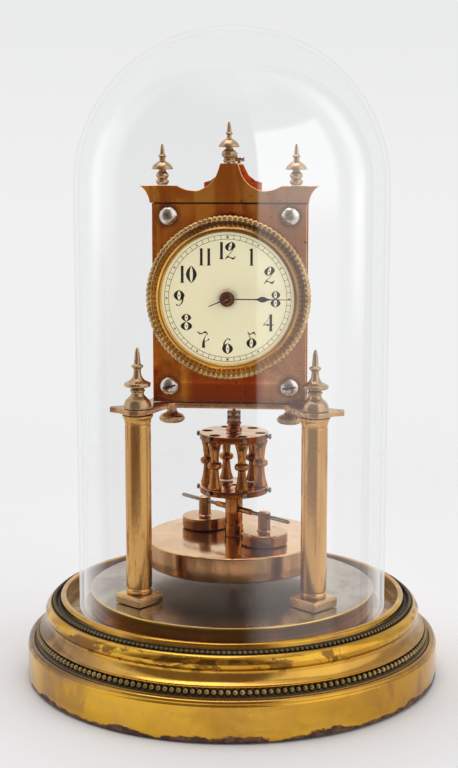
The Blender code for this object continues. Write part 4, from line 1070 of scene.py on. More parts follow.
# ==================================================================================================
# columns, feet, finials, thumb nuts, platform
# ==================================================================================================
COLUMN_PROFILE = [
    (0, 145.2), (1.2, 145.2, 0.1), (1.5, 144.9, 0.1), (1.5, 137.9, 0.05), (7.5, 137.9, 0.15),
    (7.35, 137.0, 0.5), (6.75, 136.0, 0.8), (6.40, 134.8, 0.8), (6.35, 133.9, 0.15),
    (6.05, 133.65, 0.08), (6.05, 133.15, 0.08), (6.3, 132.85, 0.15), (6.3, 52.7, 0.2),
    (5.85, 52.3, 0.15), (5.85, 51.7, 0.15), (6.3, 51.2, 0.2), (6.3, 49.5, 0.15),
    (1.5, 49.5, 0.05), (1.5, 39.5, 0.1), (0, 39.5),
]
COLUMN_FINIAL_PROFILE = [
    (0, 170.6), (0.35, 170.45, 0.2), (0.8, 169.6, 0.4), (1.15, 168.0, 1.0), (1.5, 163.6, 0.8),
    (1.6, 162.5, 0.3), (2.5, 162.1, 0.3), (3.0, 161.4, 0.5), (2.5, 160.8, 0.3),
    (1.75, 160.2, 0.3), (1.75, 158.4, 0.8), (2.1, 156.6, 1.2), (3.2, 154.9, 1.2),
    (5.2, 153.9, 0.8), (6.35, 153.4, 0.4), (6.45, 152.4, 0.5), (6.2, 151.7, 0.4),
    (3.7, 151.2, 0.3), (2.8, 150.6, 0.3), (3.5, 150.2, 0.2), (3.75, 149.7, 0.3),
    (3.2, 149.1, 0.3), (2.95, 148.3, 0.5), (3.4, 147.2, 0.6), (4.4, 146.3, 0.8),
    (5.7, 145.1, 1.0), (6.5, 143.3, 1.0), (6.75, 141.5, 0.4), (6.6, 141.2, 0.1),
    (1.9, 141.2, 0.05), (1.9, 145.6, 0.05), (0, 145.6),
]
THUMB_NUT_PROFILE = [
    (0, 147.4), (1.2, 147.4, 0.1), (1.5, 147.1, 0.1), (1.5, 137.9, 0.05), (2.7, 137.9, 0.15),
    (2.6, 136.9, 0.5), (2.4, 135.7, 0.8), (2.9, 134.2, 0.8), (4.6, 133.5, 0.6),
    (5.8, 132.8, 0.6), (6.4, 131.6, 0.6), (6.35, 130.6, 0.5), (5.4, 129.7, 0.5),
    (4.4, 129.3, 0.3), (2.6, 129.25, 0.2), (2.2, 129.5, 0.2), (0, 129.5),
]
FOOT_HALF_WIDTH = 8.2
FOOT_TURN = {"left": math.radians(-37.0), "right": math.radians(-40.5)}
# (x, y) of the platform's right half, from its front middle round to its back
HALF_PLATFORM = [
    (26.5, -18.3), (29.5, -20.5), (32.5, -26.5), (35.2, -34.5), (38.2, -40.4), (42.6, -42.9),
    (47.0, -41.4), (49.8, -37.8), (52.6, -34.8), (56.6, -32.8), (56.6, -30.0), (50.5, -27.2),
    (45.0, -21.5), (41.0, -12.0), (39.2, -2.0), (38.8, 9.0),
]
PLATFORM_BOTTOM, PLATFORM_TOP = 138.2, 140.9
PLATFORM_HOLE = 1.9  # radius of the holes for the columns and thumb nuts


def knurled(angle, radius, height):
    """36 soft ridges round the rim of a thumb nut."""
    if radius > 5.9 and 130.2 < height < 132.2:
        radius = radius - 0.10 + 0.10 * math.cos(36 * angle)
    return radius, height


for side in SIDES:
    x, y = COLUMNS[side].x, COLUMNS[side].y
    column = lathe("column_fine_" + side, COLUMN_PROFILE, 72, COLUMN_BRASS[side], at=(x, y, 0))
    mount(column, "frame", "column_brass", "column_" + side)
    finial = lathe(
        "column_top_finial_" + side, COLUMN_FINIAL_PROFILE, 56, PALE_BRASS, at=(x, y, 0)
    )
    mount(finial, "frame", "column_brass", "column_finial_" + side)
    low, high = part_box("column_foot_" + side)
    foot = block(
        "column_foot_fine_" + side,
        (x - FOOT_HALF_WIDTH, y - FOOT_HALF_WIDTH, low.z * 1000),
        (x + FOOT_HALF_WIDTH, y + FOOT_HALF_WIDTH, high.z * 1000),
        FOOT_BRASS, bevel=0.45, turn=FOOT_TURN[side],
    )
    mount(foot, "frame", "column_brass", "column_foot_" + side)
    nut = lathe(
        "thumb_nut_fine_" + side, THUMB_NUT_PROFILE, 144, PALE_BRASS,
        at=(NUTS[side].x, NUTS[side].y, 0), wave=knurled, rounding=4,
    )
    mount(nut, side + "_thumb_nut", "column_brass", "thumb_nut_" + side)

platform_holes = [
    circle(PLATFORM_HOLE, 24, at=(sign * place.x, place.y))
    for place in (COLUMNS["right"], NUTS["right"])
    for sign in (-1, 1)
]
platform = sheet(
    "movement_platform_fine",
    [mirrored(smooth_line(HALF_PLATFORM, sharp=(9, 10)))] + platform_holes,
    PLATFORM_BOTTOM, PLATFORM_TOP, PLATFORM_BRASS, bevel=0.35, upright=False,
)
mount(platform, "frame", "column_brass", "movement_platform")

# ==================================================================================================
# movement frame: front plate, pillars, screws, crest and finials
# ==================================================================================================
PLATE_HALF_WIDTH, PLATE_FOOT, PLATE_HEAD = 37.4, 141.2, 238.2
PLATE_FRONT, PLATE_BACK = -17.5, -15.5
CENTRE_HOLE, BARREL_HOLE, PIVOT_HOLE, SCREW_HOLE = 1.15, 2.95, 0.9, 1.65  # radii
# pillars and screws are turned about y, so their heights are y
PILLAR_PROFILE = [
    (0, 6.9), (1.6, 6.9, 0.1), (2.0, 6.5, 0.1), (2.0, 4.7, 0.05), (3.7, 4.7, 0.2),
    (3.7, 2.6, 0.3), (3.1, 1.8, 0.5), (2.9, 0.6, 0.5), (2.9, -11.2, 0.5), (3.1, -12.4, 0.5),
    (3.7, -13.2, 0.3), (3.7, -15.2, 0.2), (0, -15.2),
]
CAP_PROFILE = [
    (0, -20.5), (1.3, -20.35, 0.6), (2.6, -19.85, 0.9), (3.6, -19.15, 0.8), (4.25, -18.5, 0.4),
    (4.55, -18.05, 0.15), (4.5, -17.8, 0.05), (1.25, -17.8, 0.05), (1.25, -11.7, 0.1), (0, -11.7),
]
BACK_SCREW_PROFILE = [
    (0, 9.0), (1.6, 8.95, 0.4), (2.7, 8.5, 0.4), (3.0, 8.0, 0.2), (3.0, 7.05, 0.05), (0, 7.05)
]


def cut_slot(screw, half_size, at, turn, mat):
    """Cuts a straight slot, turned about y, into a screw head."""
    slot = block("slot_cut", [-c for c in half_size], half_size, mat, bevel=0.02, segments=1)
    place = Matrix.Translation([c * MM for c in at])
    slot.data.transform(place @ Matrix.Rotation(turn, 4, "Y"))
    cut(screw, slot)


def plate_hole(name, radius, count):
    centre = node_centre(name)
    return circle(radius, count, at=(centre.x, centre.z))


WIDE, LOW, HIGH = PLATE_HALF_WIDTH, PLATE_FOOT, PLATE_HEAD
front_plate = sheet(
    "front_plate_fine",
    [
        [(-WIDE, LOW), (WIDE, LOW), (WIDE, HIGH), (-WIDE, HIGH)],
        circle(CENTRE_HOLE, 32, at=(DIAL_X, DIAL_Z)),
        plate_hole("barrel", BARREL_HOLE, 36),
    ]
    + [
        plate_hole(wheel, PIVOT_HOLE, 16)
        for wheel in ("second_wheel", "third_wheel", "escape_wheel", "minute_wheel")
    ]
    + [circle(SCREW_HOLE, 20, at=(SCREWS[c].x, SCREWS[c].z)) for c in CORNERS],
    PLATE_FRONT, PLATE_BACK, RED_LACQUER, bevel=0.25,
)
mount(front_plate, "frame", "lacquered_brass", "front_plate")

for corner in CORNERS:
    x, z = SCREWS[corner].x, SCREWS[corner].z
    along_y = {"at": (x, 0, z), "axis": "Y"}
    pillar = lathe("movement_pillar_fine_" + corner, PILLAR_PROFILE, 40, GEAR_BRASS, **along_y)
    mount(pillar, "frame", "gear_brass", "movement_pillar_" + corner)
    # a wide domed cap on the plate
    cap = lathe("plate_screw_fine_" + corner, CAP_PROFILE, 64, CAP_NICKEL, rounding=4, **along_y)
    if corner in SLOT_TILT:
        cut_slot(cap, (3.3, 0.75, 0.42), (x, -20.35, z), -SLOT_TILT[corner], CAP_NICKEL)
    mount(cap, "frame", "steel", "plate_screw_" + corner)
    # the back ends of the pillars carry small slotted screws
    back = lathe("back_head", BACK_SCREW_PROFILE, 40, NICKEL, **along_y)
    back_turn = SLOT_TILT.get(corner, SLOT_TILT["low_right"]) * 1.7 + 0.4
    cut_slot(back, (4.0, 0.5, 0.3), (x, 8.95, z), back_turn, STEEL)
    back.name = "back_screw_" + corner
    mount(back, "frame", "steel")

# (x, z) of the crest's right half, from its lower corner over the horn to the top
HALF_CREST = [
    (38.4, 238.5), (38.7, 240.2), (39.5, 242.4), (41.0, 244.8), (43.2, 246.7), (25.4, 246.7),
    (23.2, 245.6), (20.8, 244.75), (17.6, 244.3), (14.7, 244.5), (12.2, 245.6), (10.0, 247.0),
    (8.0, 248.9), (6.6, 250.8), (5.4, 253.6), (4.2, 257.3),
]
SIDE_FINIAL_PROFILE = [
    (0, 266.6), (0.30, 266.5, 0.2), (0.65, 265.8, 0.4), (0.95, 264.4, 0.8), (1.15, 261.6, 0.5),
    (1.9, 261.0, 0.2), (2.0, 260.6, 0.2), (1.45, 260.2, 0.2), (1.35, 259.0, 0.3),
    (1.5, 258.4, 0.2), (2.6, 257.9, 0.6), (4.2, 256.6, 0.9), (5.1, 255.1, 0.6),
    (5.25, 254.6, 0.15), (4.9, 254.45, 0.1), (2.0, 254.5, 0.2), (1.65, 253.9, 0.2),
    (2.0, 253.2, 0.3), (2.9, 252.6, 0.4), (3.15, 251.5, 0.5), (2.7, 250.5, 0.4),
    (2.2, 250.1, 0.2), (2.6, 249.7, 0.2), (3.15, 249.1, 0.3), (3.25, 248.4, 0.3),
    (2.8, 247.7, 0.3), (2.4, 247.3, 0.1), (2.4, 247.0, 0.05), (0, 247.0),
]
CENTRE_FINIAL_PROFILE = [
    (0, 277.1), (0.30, 277.0, 0.2), (0.65, 276.2, 0.4), (0.95, 274.6, 0.8), (1.15, 272.2, 0.4),
    (1.7, 271.7, 0.2), (1.75, 271.3, 0.2), (1.15, 270.9, 0.2), (1.15, 269.6, 0.3),
    (1.5, 269.0, 0.2), (2.6, 268.4, 0.6), (4.2, 267.1, 0.9), (5.0, 265.7, 0.6),
    (5.15, 265.2, 0.15), (4.8, 265.05, 0.1), (2.0, 265.0, 0.2), (1.65, 264.5, 0.2),
    (2.1, 263.9, 0.3), (3.1, 263.3, 0.4), (3.75, 262.0, 0.5), (3.6, 260.9, 0.5),
    (2.7, 260.1, 0.3), (2.3, 259.5, 0.2), (2.9, 259.1, 0.2), (3.0, 258.6, 0.2),
    (2.6, 258.0, 0.1), (2.6, 257.6, 0.05), (0, 257.6),
]
crest_outline = mirrored(smooth_line(HALF_CREST, sharp=(4, 5), steps=6))
crest_parts = [
    sheet("crest_panel", [crest_outline], -18.4, -15.2, CREST_LACQUER, bevel=0.35),
    block("crest_tab", (-18, -15.3, 228.0), (18, -12.8, 243.0), CREST_LACQUER, bevel=0.4),
    block("crest_strip", (-36.8, -15.3, 236.6), (36.8, -13.6, 241.0), CREST_LACQUER),
]
mount(joined("pediment_fine", crest_parts), "frame", "lacquered_brass", "pediment")

CREST_Y = node_centre("finial_centre").y
for where, x, profile in (
    ("left", node_centre("finial_left").x, SIDE_FINIAL_PROFILE),
    ("right", node_centre("finial_right").x, SIDE_FINIAL_PROFILE),
    ("centre", DIAL_X, CENTRE_FINIAL_PROFILE),
):
    finial = lathe("crest_finial_" + where, profile, 48, PALE_BRASS, at=(x, CREST_Y, 0))
    mount(finial, "frame", "column_brass", "finial_" + where)

# ==================================================================================================
# bezel and dial. Turned pieces here have y as their heights.
# ==================================================================================================
BEZEL_PROFILE = [
    (31.9, -26.35, 0.05), (31.9, -27.5, 0.2), (32.4, -28.1, 0.3), (33.3, -28.15, 0.4),
    (34.2, -27.4, 0.9), (34.9, -26.2, 1.2), (35.7, -25.0, 0.6), (36.1, -24.3, 0.12),
    (36.5, -24.5, 0.12), (36.9, -24.0, 0.2), (39.4, -23.6, 0.3), (39.7, -21.2, 0.3),
    (38.6, -20.7, 0.3), (36.4, -20.7, 0.2), (36.4, -17.8, 0.1), (34.4, -17.8, 0.1),
    (34.4, -26.35, 0.1),
]
DIAL_FACE = -26.0
DIAL_PROFILE = [
    (2.5, DIAL_FACE, 0.1), (33.9, DIAL_FACE, 0.1), (33.9, -25.0, 0.05), (2.5, -25.0, 0.05)
]
ROPE_LOBES, ROPE_RADIUS, ROPE_THICK, ROPE_Y = 96, 38.0, 1.98, -23.3


def rope_ring(name, mat):
    """A cast band of slanting leaf-shaped lobes round the bezel."""
    steps, section = ROPE_LOBES * 8, 18
    verts, faces = [], []
    for i in range(steps):
        turn = TAU * i / steps
        for j in range(section):
            spin = TAU * j / section
            phase = (ROPE_LOBES * turn + 0.9 * math.sin(spin - 0.6)) / 2
            ridge = abs(math.sin(phase)) ** 0.75
            thick = ROPE_THICK * (0.73 + 0.27 * ridge)
            radius = ROPE_RADIUS + math.cos(spin) * thick * 0.98
            verts.append(
                (
                    DIAL_X + math.cos(turn) * radius,
                    ROPE_Y - math.sin(spin) * thick,
                    DIAL_Z + math.sin(turn) * radius,
                )
            )
    for i in range(steps):
        here, ahead = i * section, (i + 1) % steps * section
        for j in range(section):
            m = (j + 1) % section
            faces.append((here + j, ahead + j, ahead + m, here + m))
    return finished(name, verts, faces, mat, 80)


bezel_parts = [
    lathe("bezel_inner", BEZEL_PROFILE, 224, BEZEL_POLISHED, ring=True, rounding=4, **ON_DIAL),
    rope_ring("bezel_band", BEZEL_CAST),
]
mount(joined("dial_bezel_fine", bezel_parts), "frame", "bezel_brass", "dial_bezel")
dial = lathe("dial_plate_fine", DIAL_PROFILE, 192, ENAMEL, ring=True, **ON_DIAL)
mount(dial, "frame", "dial_enamel", "dial_plate")


# ==================================================================================================
# dial print
# ==================================================================================================
class Print:
    """Raised print: thin closed prisms on the dial face, drawn as (x, z) about the pen's origin,
    which is itself measured from the dial's centre."""

    def __init__(self, name, mat, lift=0.06):
        self.name, self.mat, self.front = name, mat, DIAL_FACE - lift
        self.verts, self.faces = [], []
        self.origin = (0.0, 0.0)

    def _level(self, loop, y):
        first = len(self.verts)
        left, up = self.origin
        self.verts += [(DIAL_X + left + x, y, DIAL_Z + up + z) for x, z in loop]
        return list(range(first, first + len(loop)))

    def _prism(self, loop):
        return self._level(loop, self.front), self._level(loop, -25.98)

    def solid(self, loop):
        front, back = self._prism(loop)
        self.faces.append(tuple(front))
        self.faces.append(tuple(reversed(back)))
        for k in range(len(loop)):
            j = (k + 1) % len(loop)
            self.faces.append((front[k], back[k], back[j], front[j]))

    def ring(self, outer, hole):
        """A band between two loops with the same number of points."""
        front, back = self._prism(outer)
        hole_front, hole_back = self._prism(hole)
        for k in range(len(outer)):
            j = (k + 1) % len(outer)
            self.faces += [
                (front[k], front[j], hole_front[j], hole_front[k]),
                (back[k], hole_back[k], hole_back[j], back[j]),
                (front[k], back[k], back[j], front[j]),
                (hole_front[k], hole_front[j], hole_back[j], hole_back[k]),
            ]

    def stroke(self, points, widths):
        """A line that swells and thins: widths are full widths at the points."""
        line = smooth_line(points)
        wide = smooth_line([(width, 0.0) for width in widths])
        left, right = [], []
        for k, (x, z) in enumerate(line):
            before, after = line[max(0, k - 1)], line[min(len(line) - 1, k + 1)]
            dx, dz = after[0] - before[0], after[1] - before[1]
            length = math.hypot(dx, dz) or 1.0
            half = max(0.05, wide[k][0]) / 2
            left.append((x - dz / length * half, z + dx / length * half))
            right.append((x + dz / length * half, z - dx / length * half))
        self.solid(left + right[::-1])

    def bar(self, x, width, low=-4.1, high=4.1, feet=0.35, flag=0.0):
        """An upright with slight feet and, if asked, a small flag at its top left."""
        half = width / 2
        left, right = x - half, x + half
        loop = [
            (left - feet, low), (right + feet, low), (right + feet * 0.6, low + 0.28),
            (right, low + 0.55), (right, high - 0.35), (right + feet * 0.4, high - 0.12),
            (right + feet * 0.4, high),
        ]
        if flag:
            loop += [
                (left, high), (left - flag, high - 0.5 - flag * 0.5),
                (left - flag, high - 0.75 - flag * 0.5), (left, high - 0.8),
            ]
        else:
            loop += [
                (left - feet * 0.4, high), (left - feet * 0.4, high - 0.12), (left, high - 0.35)
            ]
        loop += [(left, low + 0.55), (left - feet * 0.6, low + 0.28)]
        self.solid(loop)

    def eye(
        self, x, z, width, height, opening, lean=0.0, dot=0.34, shape=1.35, left=1.0, right=1.0
    ):
        """A bowl drawn as two heavy diamond lobes round a lens-shaped opening.

        left and right scale the lobes; shape is their squareness; dot sits in the opening.
        """
        count = 40
        opening *= 0.84
        outer, hole = [], []
        for k in range(count):
            cos, sin = math.cos(TAU * k / count), math.sin(TAU * k / count)
            lobe = right if cos > 0 else left
            out_x = math.copysign(abs(cos) ** (2 / shape), cos) * width / 2 * lobe
            out_z = math.copysign(abs(sin) ** (2 / (shape + 0.55)), sin) * height / 2
            hole_x = cos * opening / 2 * (1.0 - 0.55 * abs(sin) ** 3)
            hole_z = math.copysign(abs(sin) ** 0.95, sin) * (height / 2 - 0.20)
            outer.append((x + out_x + lean * out_z, z + out_z))
            hole.append((x + hole_x + lean * hole_z, z + hole_z))
        self.ring(outer, hole)
        if dot:
            diamond = ((1, 0), (0, 1), (-1, 0), (0, -1))
            self.solid([(x + dx * dot * 1.2, z + dz * dot) for dx, dz in diamond])

    def dot(self, x, z, radius):
        self.solid(circle(radius, 12, at=(x, z)))

    def wave(self, x, z, width, heavy, up=1.0):
        """A swelling wave with a dot at each end: the foot of a 2 or, turned over with up=-1, the
        flag of a 5 or 7."""
        points = [
            (x - width / 2, z - 0.45 * up), (x - width * 0.28, z + 0.35 * up), (x, z + 0.05 * up),
            (x + width * 0.27, z - 0.42 * up), (x + width / 2, z + 0.38 * up),
        ]
        self.stroke(points, [0.14, heavy * 0.75, 0.40, heavy, 0.14])
        self.dot(x - width / 2 + 0.1, z - 0.5 * up, 0.30)
        self.dot(x + width / 2 - 0.1, z + 0.45 * up, 0.30)

    def build(self):
        mount(finished(self.name, self.verts, self.faces, self.mat, 30), "frame", "dial_enamel")


def draw_numeral(pen, hour):
    """One numeral about the pen's origin, roughly 8.3 tall."""
    if hour == 1:
        pen.bar(0.0, 1.15, low=-4.0, flag=0.55)
    elif hour == 2:
        pen.eye(0.1, 1.85, 5.0, 4.6, 1.7, lean=0.28, left=0.95, right=1.02)
        pen.stroke([(1.5, 0.2), (0.2, -1.3), (-1.6, -2.9)], [0.30, 0.26, 0.30])
        pen.wave(0.1, -3.35, 4.6, heavy=0.95)
    elif hour == 3:
        pen.eye(0.0, 1.95, 4.5, 4.0, 1.8, left=0.85)
        pen.eye(0.0, -1.95, 4.9, 4.2, 1.9, left=0.95)
    elif hour == 4:
        pen.bar(0.9, 1.25, feet=0.3)
        pen.stroke([(0.7, 3.6), (-0.9, 0.9), (-2.6, -1.0)], [0.16, 0.22, 0.30])
        pen.stroke([(-2.8, -1.05), (-0.6, -0.95), (2.4, -1.0)], [0.42, 0.22, 0.42])
        pen.solid([(-1.5, -1.0), (-0.6, -0.35), (0.2, -1.0), (-0.6, -1.65)])
    elif hour == 5:
        pen.eye(0.0, -1.45, 5.0, 5.0, 1.9, lean=0.05, left=0.95)
        pen.stroke([(-1.2, 3.2), (-1.0, 1.7), (-0.2, 1.0)], [0.28, 0.24, 0.22])
        pen.wave(0.1, 3.2, 3.6, heavy=0.9, up=-1.0)
    elif hour == 6:
        pen.eye(0.0, -1.25, 5.2, 5.2, 1.9, left=1.02)
        pen.stroke([(-1.9, -0.4), (-1.5, 1.8), (0.1, 3.7), (0.9, 3.3)], [0.7, 0.62, 0.30, 0.24])
        pen.dot(1.0, 3.2, 0.42)
    elif hour == 7:
        pen.wave(-0.5, 3.2, 4.8, heavy=0.95, up=-1.0)
        pen.stroke([(1.9, 2.9), (0.4, 0.9), (-0.1, -1.6), (-0.1, -4.0)], [0.22, 0.38, 1.15, 1.5])
        pen.dot(2.3, 0.1, 0.42)
        pen.stroke([(2.3, 0.1), (1.3, -0.7), (0.2, -0.9)], [0.18, 0.26, 0.3])
    elif hour == 8:
        pen.eye(0.0, 2.15, 4.7, 3.7, 1.9)
        pen.eye(0.0, -1.95, 5.6, 4.3, 2.2)
    elif hour == 9:
        pen.eye(0.0, 1.35, 5.2, 5.2, 1.9, right=1.02)
        pen.stroke([(1.9, 0.5), (1.5, -1.8), (-0.1, -3.7), (-0.9, -3.3)], [0.7, 0.62, 0.30, 0.24])
        pen.dot(-1.0, -3.2, 0.42)
    elif hour == 10:
        pen.bar(-2.9, 1.30)
        pen.eye(1.5, 0.0, 5.2, 8.3, 1.8, dot=0.0, shape=1.2)
    elif hour == 11:
        pen.bar(-1.7, 1.25)
        pen.bar(1.9, 1.25)
    elif hour == 12:
        pen.bar(-2.9, 1.30)
        pen.eye(1.3, 2.0, 4.9, 4.4, 1.6, lean=0.28)
        pen.stroke([(2.6, 0.5), (1.4, -1.2), (-0.4, -2.9)], [0.30, 0.26, 0.30])
        pen.wave(1.4, -3.35, 4.6, heavy=0.95)


NUMERAL_RADIUS = 23.0
NUMERAL_SHIFT = {9: -0.4, 10: 1.0, 11: 0.6}  # to the right
numerals = Print("dial_numerals", BLACK_PRINT)
for hour in range(1, 13):
    turn = math.radians(90 - 30 * hour)
    x = NUMERAL_RADIUS * math.cos(turn) + NUMERAL_SHIFT.get(hour, 0.0)
    numerals.origin = (x, NUMERAL_RADIUS * math.sin(turn))
    draw_numeral(numerals, hour)
numerals.build()

TRACK_INNER, TRACK_OUTER = 28.45, 30.45
TRACK_LINE, TRACK_TICK = 0.11, 0.12  # half widths
track = Print("dial_minute_track", FAINT_PRINT, lift=0.05)
for radius in (TRACK_INNER, TRACK_OUTER):
    track.ring(circle(radius + TRACK_LINE, 180), circle(radius - TRACK_LINE, 180))
for minute in range(60):
    if minute % 5:
        cos, sin = math.cos(TAU * minute / 60), math.sin(TAU * minute / 60)
        corners = ((TRACK_INNER, 1), (TRACK_INNER, -1), (TRACK_OUTER, -1), (TRACK_OUTER, 1))
        track.solid(
            [
                (cos * r - sin * TRACK_TICK * sign, sin * r + cos * TRACK_TICK * sign)
                for r, sign in corners
            ]
        )
track.build()

STAR_RADIUS = (TRACK_INNER + TRACK_OUTER) / 2
stars = Print("dial_minute_stars", BLACK_PRINT, lift=0.065)
for k in range(12):
    # four points each; larger at 12 and 6, and turned by an eighth at 6
    turn = math.radians(90 - 30 * k)
    size = 1.0 if k in (0, 6) else 0.78
    twist = math.pi / 4 if k == 6 else 0.0
    stars.origin = (STAR_RADIUS * math.cos(turn), STAR_RADIUS * math.sin(turn))
    points = []
    for j in range(8):
        reach = (0.98 if j % 2 == 0 else 0.36) * size
        bearing = turn + TAU * j / 8 + twist
        points.append((reach * math.cos(bearing), reach * math.sin(bearing)))
    stars.solid(points)
stars.build()

# ==================================================================================================
# hands, drawn pointing along +x as (x, z) from the dial's centre
# ==================================================================================================
HOUR_ANGLE = math.radians(90.0 - 247.5)
# lower edges from the hub to the tip; each is mirrored for the upper edge
SPADE_EDGE = [
    (12.9, -0.24), (14.4, -0.42), (16.1, -1.28), (17.6, -1.30), (19.0, -0.74), (20.6, -0.30),
    (23.0, -0.20),
]
MINUTE_EDGE = smooth_line(SPADE_EDGE) + [(30.6, -0.14), (31.0, 0.0)]
HOUR_EDGE = [(6.0, -0.24), (9.6, -0.22), (10.0, 0.0)]
MINUTE_BOSS_PROFILE = [
    (1.6, -28.7, 0.05), (3.6, -28.7, 0.1), (3.72, -29.1, 0.2), (3.55, -29.55, 0.2),
    (3.0, -29.7, 0.15), (2.75, -29.55, 0.12), (2.45, -29.75, 0.15), (1.9, -29.95, 0.2),
    (1.6, -29.9, 0.05),
]
COLLET_PROFILE = [(0.86, -29.75, 0.05), (1.5, -29.75, 0.05), (1.45, -30.25, 0.2), (0.86, -30.3, 0.05)]
HAND_PIN_TILT = math.radians(35)


def hand(name, hub_radius, neck, edge, front, back, angle, bore):
    """A flat hand with a round hub, open at the neck (half its width), and a bore."""
    opening = math.asin(neck / hub_radius)
    turns = [opening + (TAU - 2 * opening) * k / 30 for k in range(31)]
    outline = [(hub_radius * math.cos(a), hub_radius * math.sin(a)) for a in turns]
    outline += edge + [(x, -z) for x, z in reversed(edge[:-1])]
    cos, sin = math.cos(angle), math.sin(angle)
    loop = [(DIAL_X + x * cos - z * sin, DIAL_Z + x * sin + z * cos) for x, z in outline]
    hole = circle(bore, 28, at=(DIAL_X, DIAL_Z))
    return sheet(name, [loop, hole], front, back, BLUED_STEEL, bevel=0.10, segments=2)


minute_parts = [
    hand(
        "minute_hand_blade", hub_radius=2.6, neck=0.27, edge=MINUTE_EDGE,
        front=-29.4, back=-28.8, angle=0.0, bore=1.6,
    ),
    lathe("minute_boss", MINUTE_BOSS_PROFILE, 64, BOSS_COPPER, ring=True, **ON_DIAL),
    lathe("minute_collet", COLLET_PROFILE, 40, BOSS_COPPER, ring=True, **ON_DIAL),
]
mount(joined("minute_hand_fine", minute_parts), "minute_arbor", "blued_steel", "minute_hand")
pin = lathe(
    "hand_pin", [(0, 2.0), (0.26, 1.95, 0.1), (0.34, -1.95, 0.1), (0, -2.0)], 20, AMBER_BRASS
)
turned_to(pin, (DIAL_X, -30.15, DIAL_Z), (math.cos(HAND_PIN_TILT), 0.0, math.sin(HAND_PIN_TILT)))
mount(pin, "minute_arbor", "gear_brass")
hour_hand = hand(
    "hour_hand_fine", hub_radius=3.5, neck=0.30, edge=HOUR_EDGE,
    front=-27.6, back=-26.95, angle=HOUR_ANGLE, bore=2.4,
)
mount(hour_hand, "hour_arbor", "blued_steel", "hour_hand")


# ==================================================================================================
# suspension spring and hook
# ==================================================================================================
def ribbon(name, low, high, rows, mat):
    """A thin upright box, divided into rows."""
    verts = []
    for i in range(rows + 1):
        z = low[2] + (high[2] - low[2]) * i / rows
        verts += [(low[0], low[1], z), (high[0], low[1], z)]
        verts += [(high[0], high[1], z), (low[0], high[1], z)]
    faces = skin([range(4 * i, 4 * i + 4) for i in range(rows + 1)])
    faces += [(3, 2, 1, 0), tuple(range(4 * rows, 4 * rows + 4))]
    return finished(name, verts, faces, mat, 30)


low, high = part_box("suspension_spring")
SPRING_TRIM = 0.05  # taken off the front and the back
spring = ribbon(
    "suspension_ribbon",
    (low.x * 1000, low.y * 1000 + SPRING_TRIM, low.z * 1000),
    (high.x * 1000, high.y * 1000 - SPRING_TRIM, high.z * 1000),
    160, STEEL,
)
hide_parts("suspension_spring")
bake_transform(spring)


def small_screw(name, at, direction, radius, mat, length, slot_angle):
    """A cheese-head screw: the head stands on the surface at a point, facing a direction."""
    profile = [
        (0, length), (radius * 0.8, length, 0.08), (radius, length * 0.8, 0.15),
        (radius, -0.1, 0.05), (0, -0.1),
    ]
    head = lathe(name, profile, 28, mat)
    slot = block(
        "slot_cut",
        (-radius * 1.3, -radius * 0.16, length * 0.55),
        (radius * 1.3, radius * 0.16, length * 1.5),
        mat, bevel=0.01, segments=1,
    )
    slot.data.transform(Matrix.Rotation(slot_angle, 4, "Z"))
    cut(head, slot)
    return turned_to(head, at, direction)


HOOK_COLLAR_PROFILE = [
    (0, 126.2), (3.4, 126.2, 0.2), (3.9, 125.6, 0.3), (3.7, 125.0, 0.3), (3.05, 124.3, 0.3),
    (3.0, 123.6, 0.3), (3.8, 123.1, 0.3), (4.2, 122.4, 0.3), (4.2, 121.7, 0.3),
    (4.0, 121.1, 0.1), (1.5, 121.1, 0.05), (1.5, 117.9, 0.1), (0, 117.9),
]
HOOK_INNER_Y, HOOK_OUTER_Y = 0.5, 2.3  # the cheeks' faces, either side of the pendulum axis
HOOK_SCREWS = ((-1.9, 130.2), (1.9, 130.2), (-1.6, 127.3), (1.7, 127.3))  # (x from axis, z)
collar = lathe("hook_collar", HOOK_COLLAR_PROFILE, 48, COPPER, at=(PEND_X, PEND_Y, 0))
cheeks = [
    block(
        "hook_cheek", (PEND_X - 3.3, PEND_Y + front, 125.9), (PEND_X + 3.3, PEND_Y + back, 131.9),
        COPPER, bevel=0.35,
    )
    for front, back in ((-HOOK_OUTER_Y, -HOOK_INNER_Y), (HOOK_INNER_Y, HOOK_OUTER_Y))
]
bridge = block(
    "hook_bridge", (PEND_X - 3.2, PEND_Y - 2.0, 125.6), (PEND_X + 3.2, PEND_Y + 2.0, 128.3), COPPER
)
hook_screws = [
    small_screw(
        "hook_screw", (PEND_X + x, PEND_Y - HOOK_OUTER_Y, z), (0, -1, 0), 0.95, NICKEL,
        length=0.7, slot_angle=x,
    )
    for x, z in HOOK_SCREWS
]
hook = joined("pendulum_hook_fine", [collar, bridge] + cheeks + hook_screws)
mount(hook, "pendulum", "pendulum_brass", "pendulum_hook")

# ==================================================================================================
# pendulum gallery: two rings with six balusters between them
# ==================================================================================================
BALUSTER_RADIUS, GALLERY_RADIUS = 14.0, 17.6  # from the pendulum axis
BALUSTER_ANGLES = [math.radians(-9.0) + k * TAU / 6 for k in range(6)]
GALLERY_TOP, GALLERY_BOTTOM, GALLERY_THICK = 120.8, 89.6, 3.3


def about_pendulum(radius, angle):
    return PEND_X + radius * math.cos(angle), PEND_Y + radius * math.sin(angle)


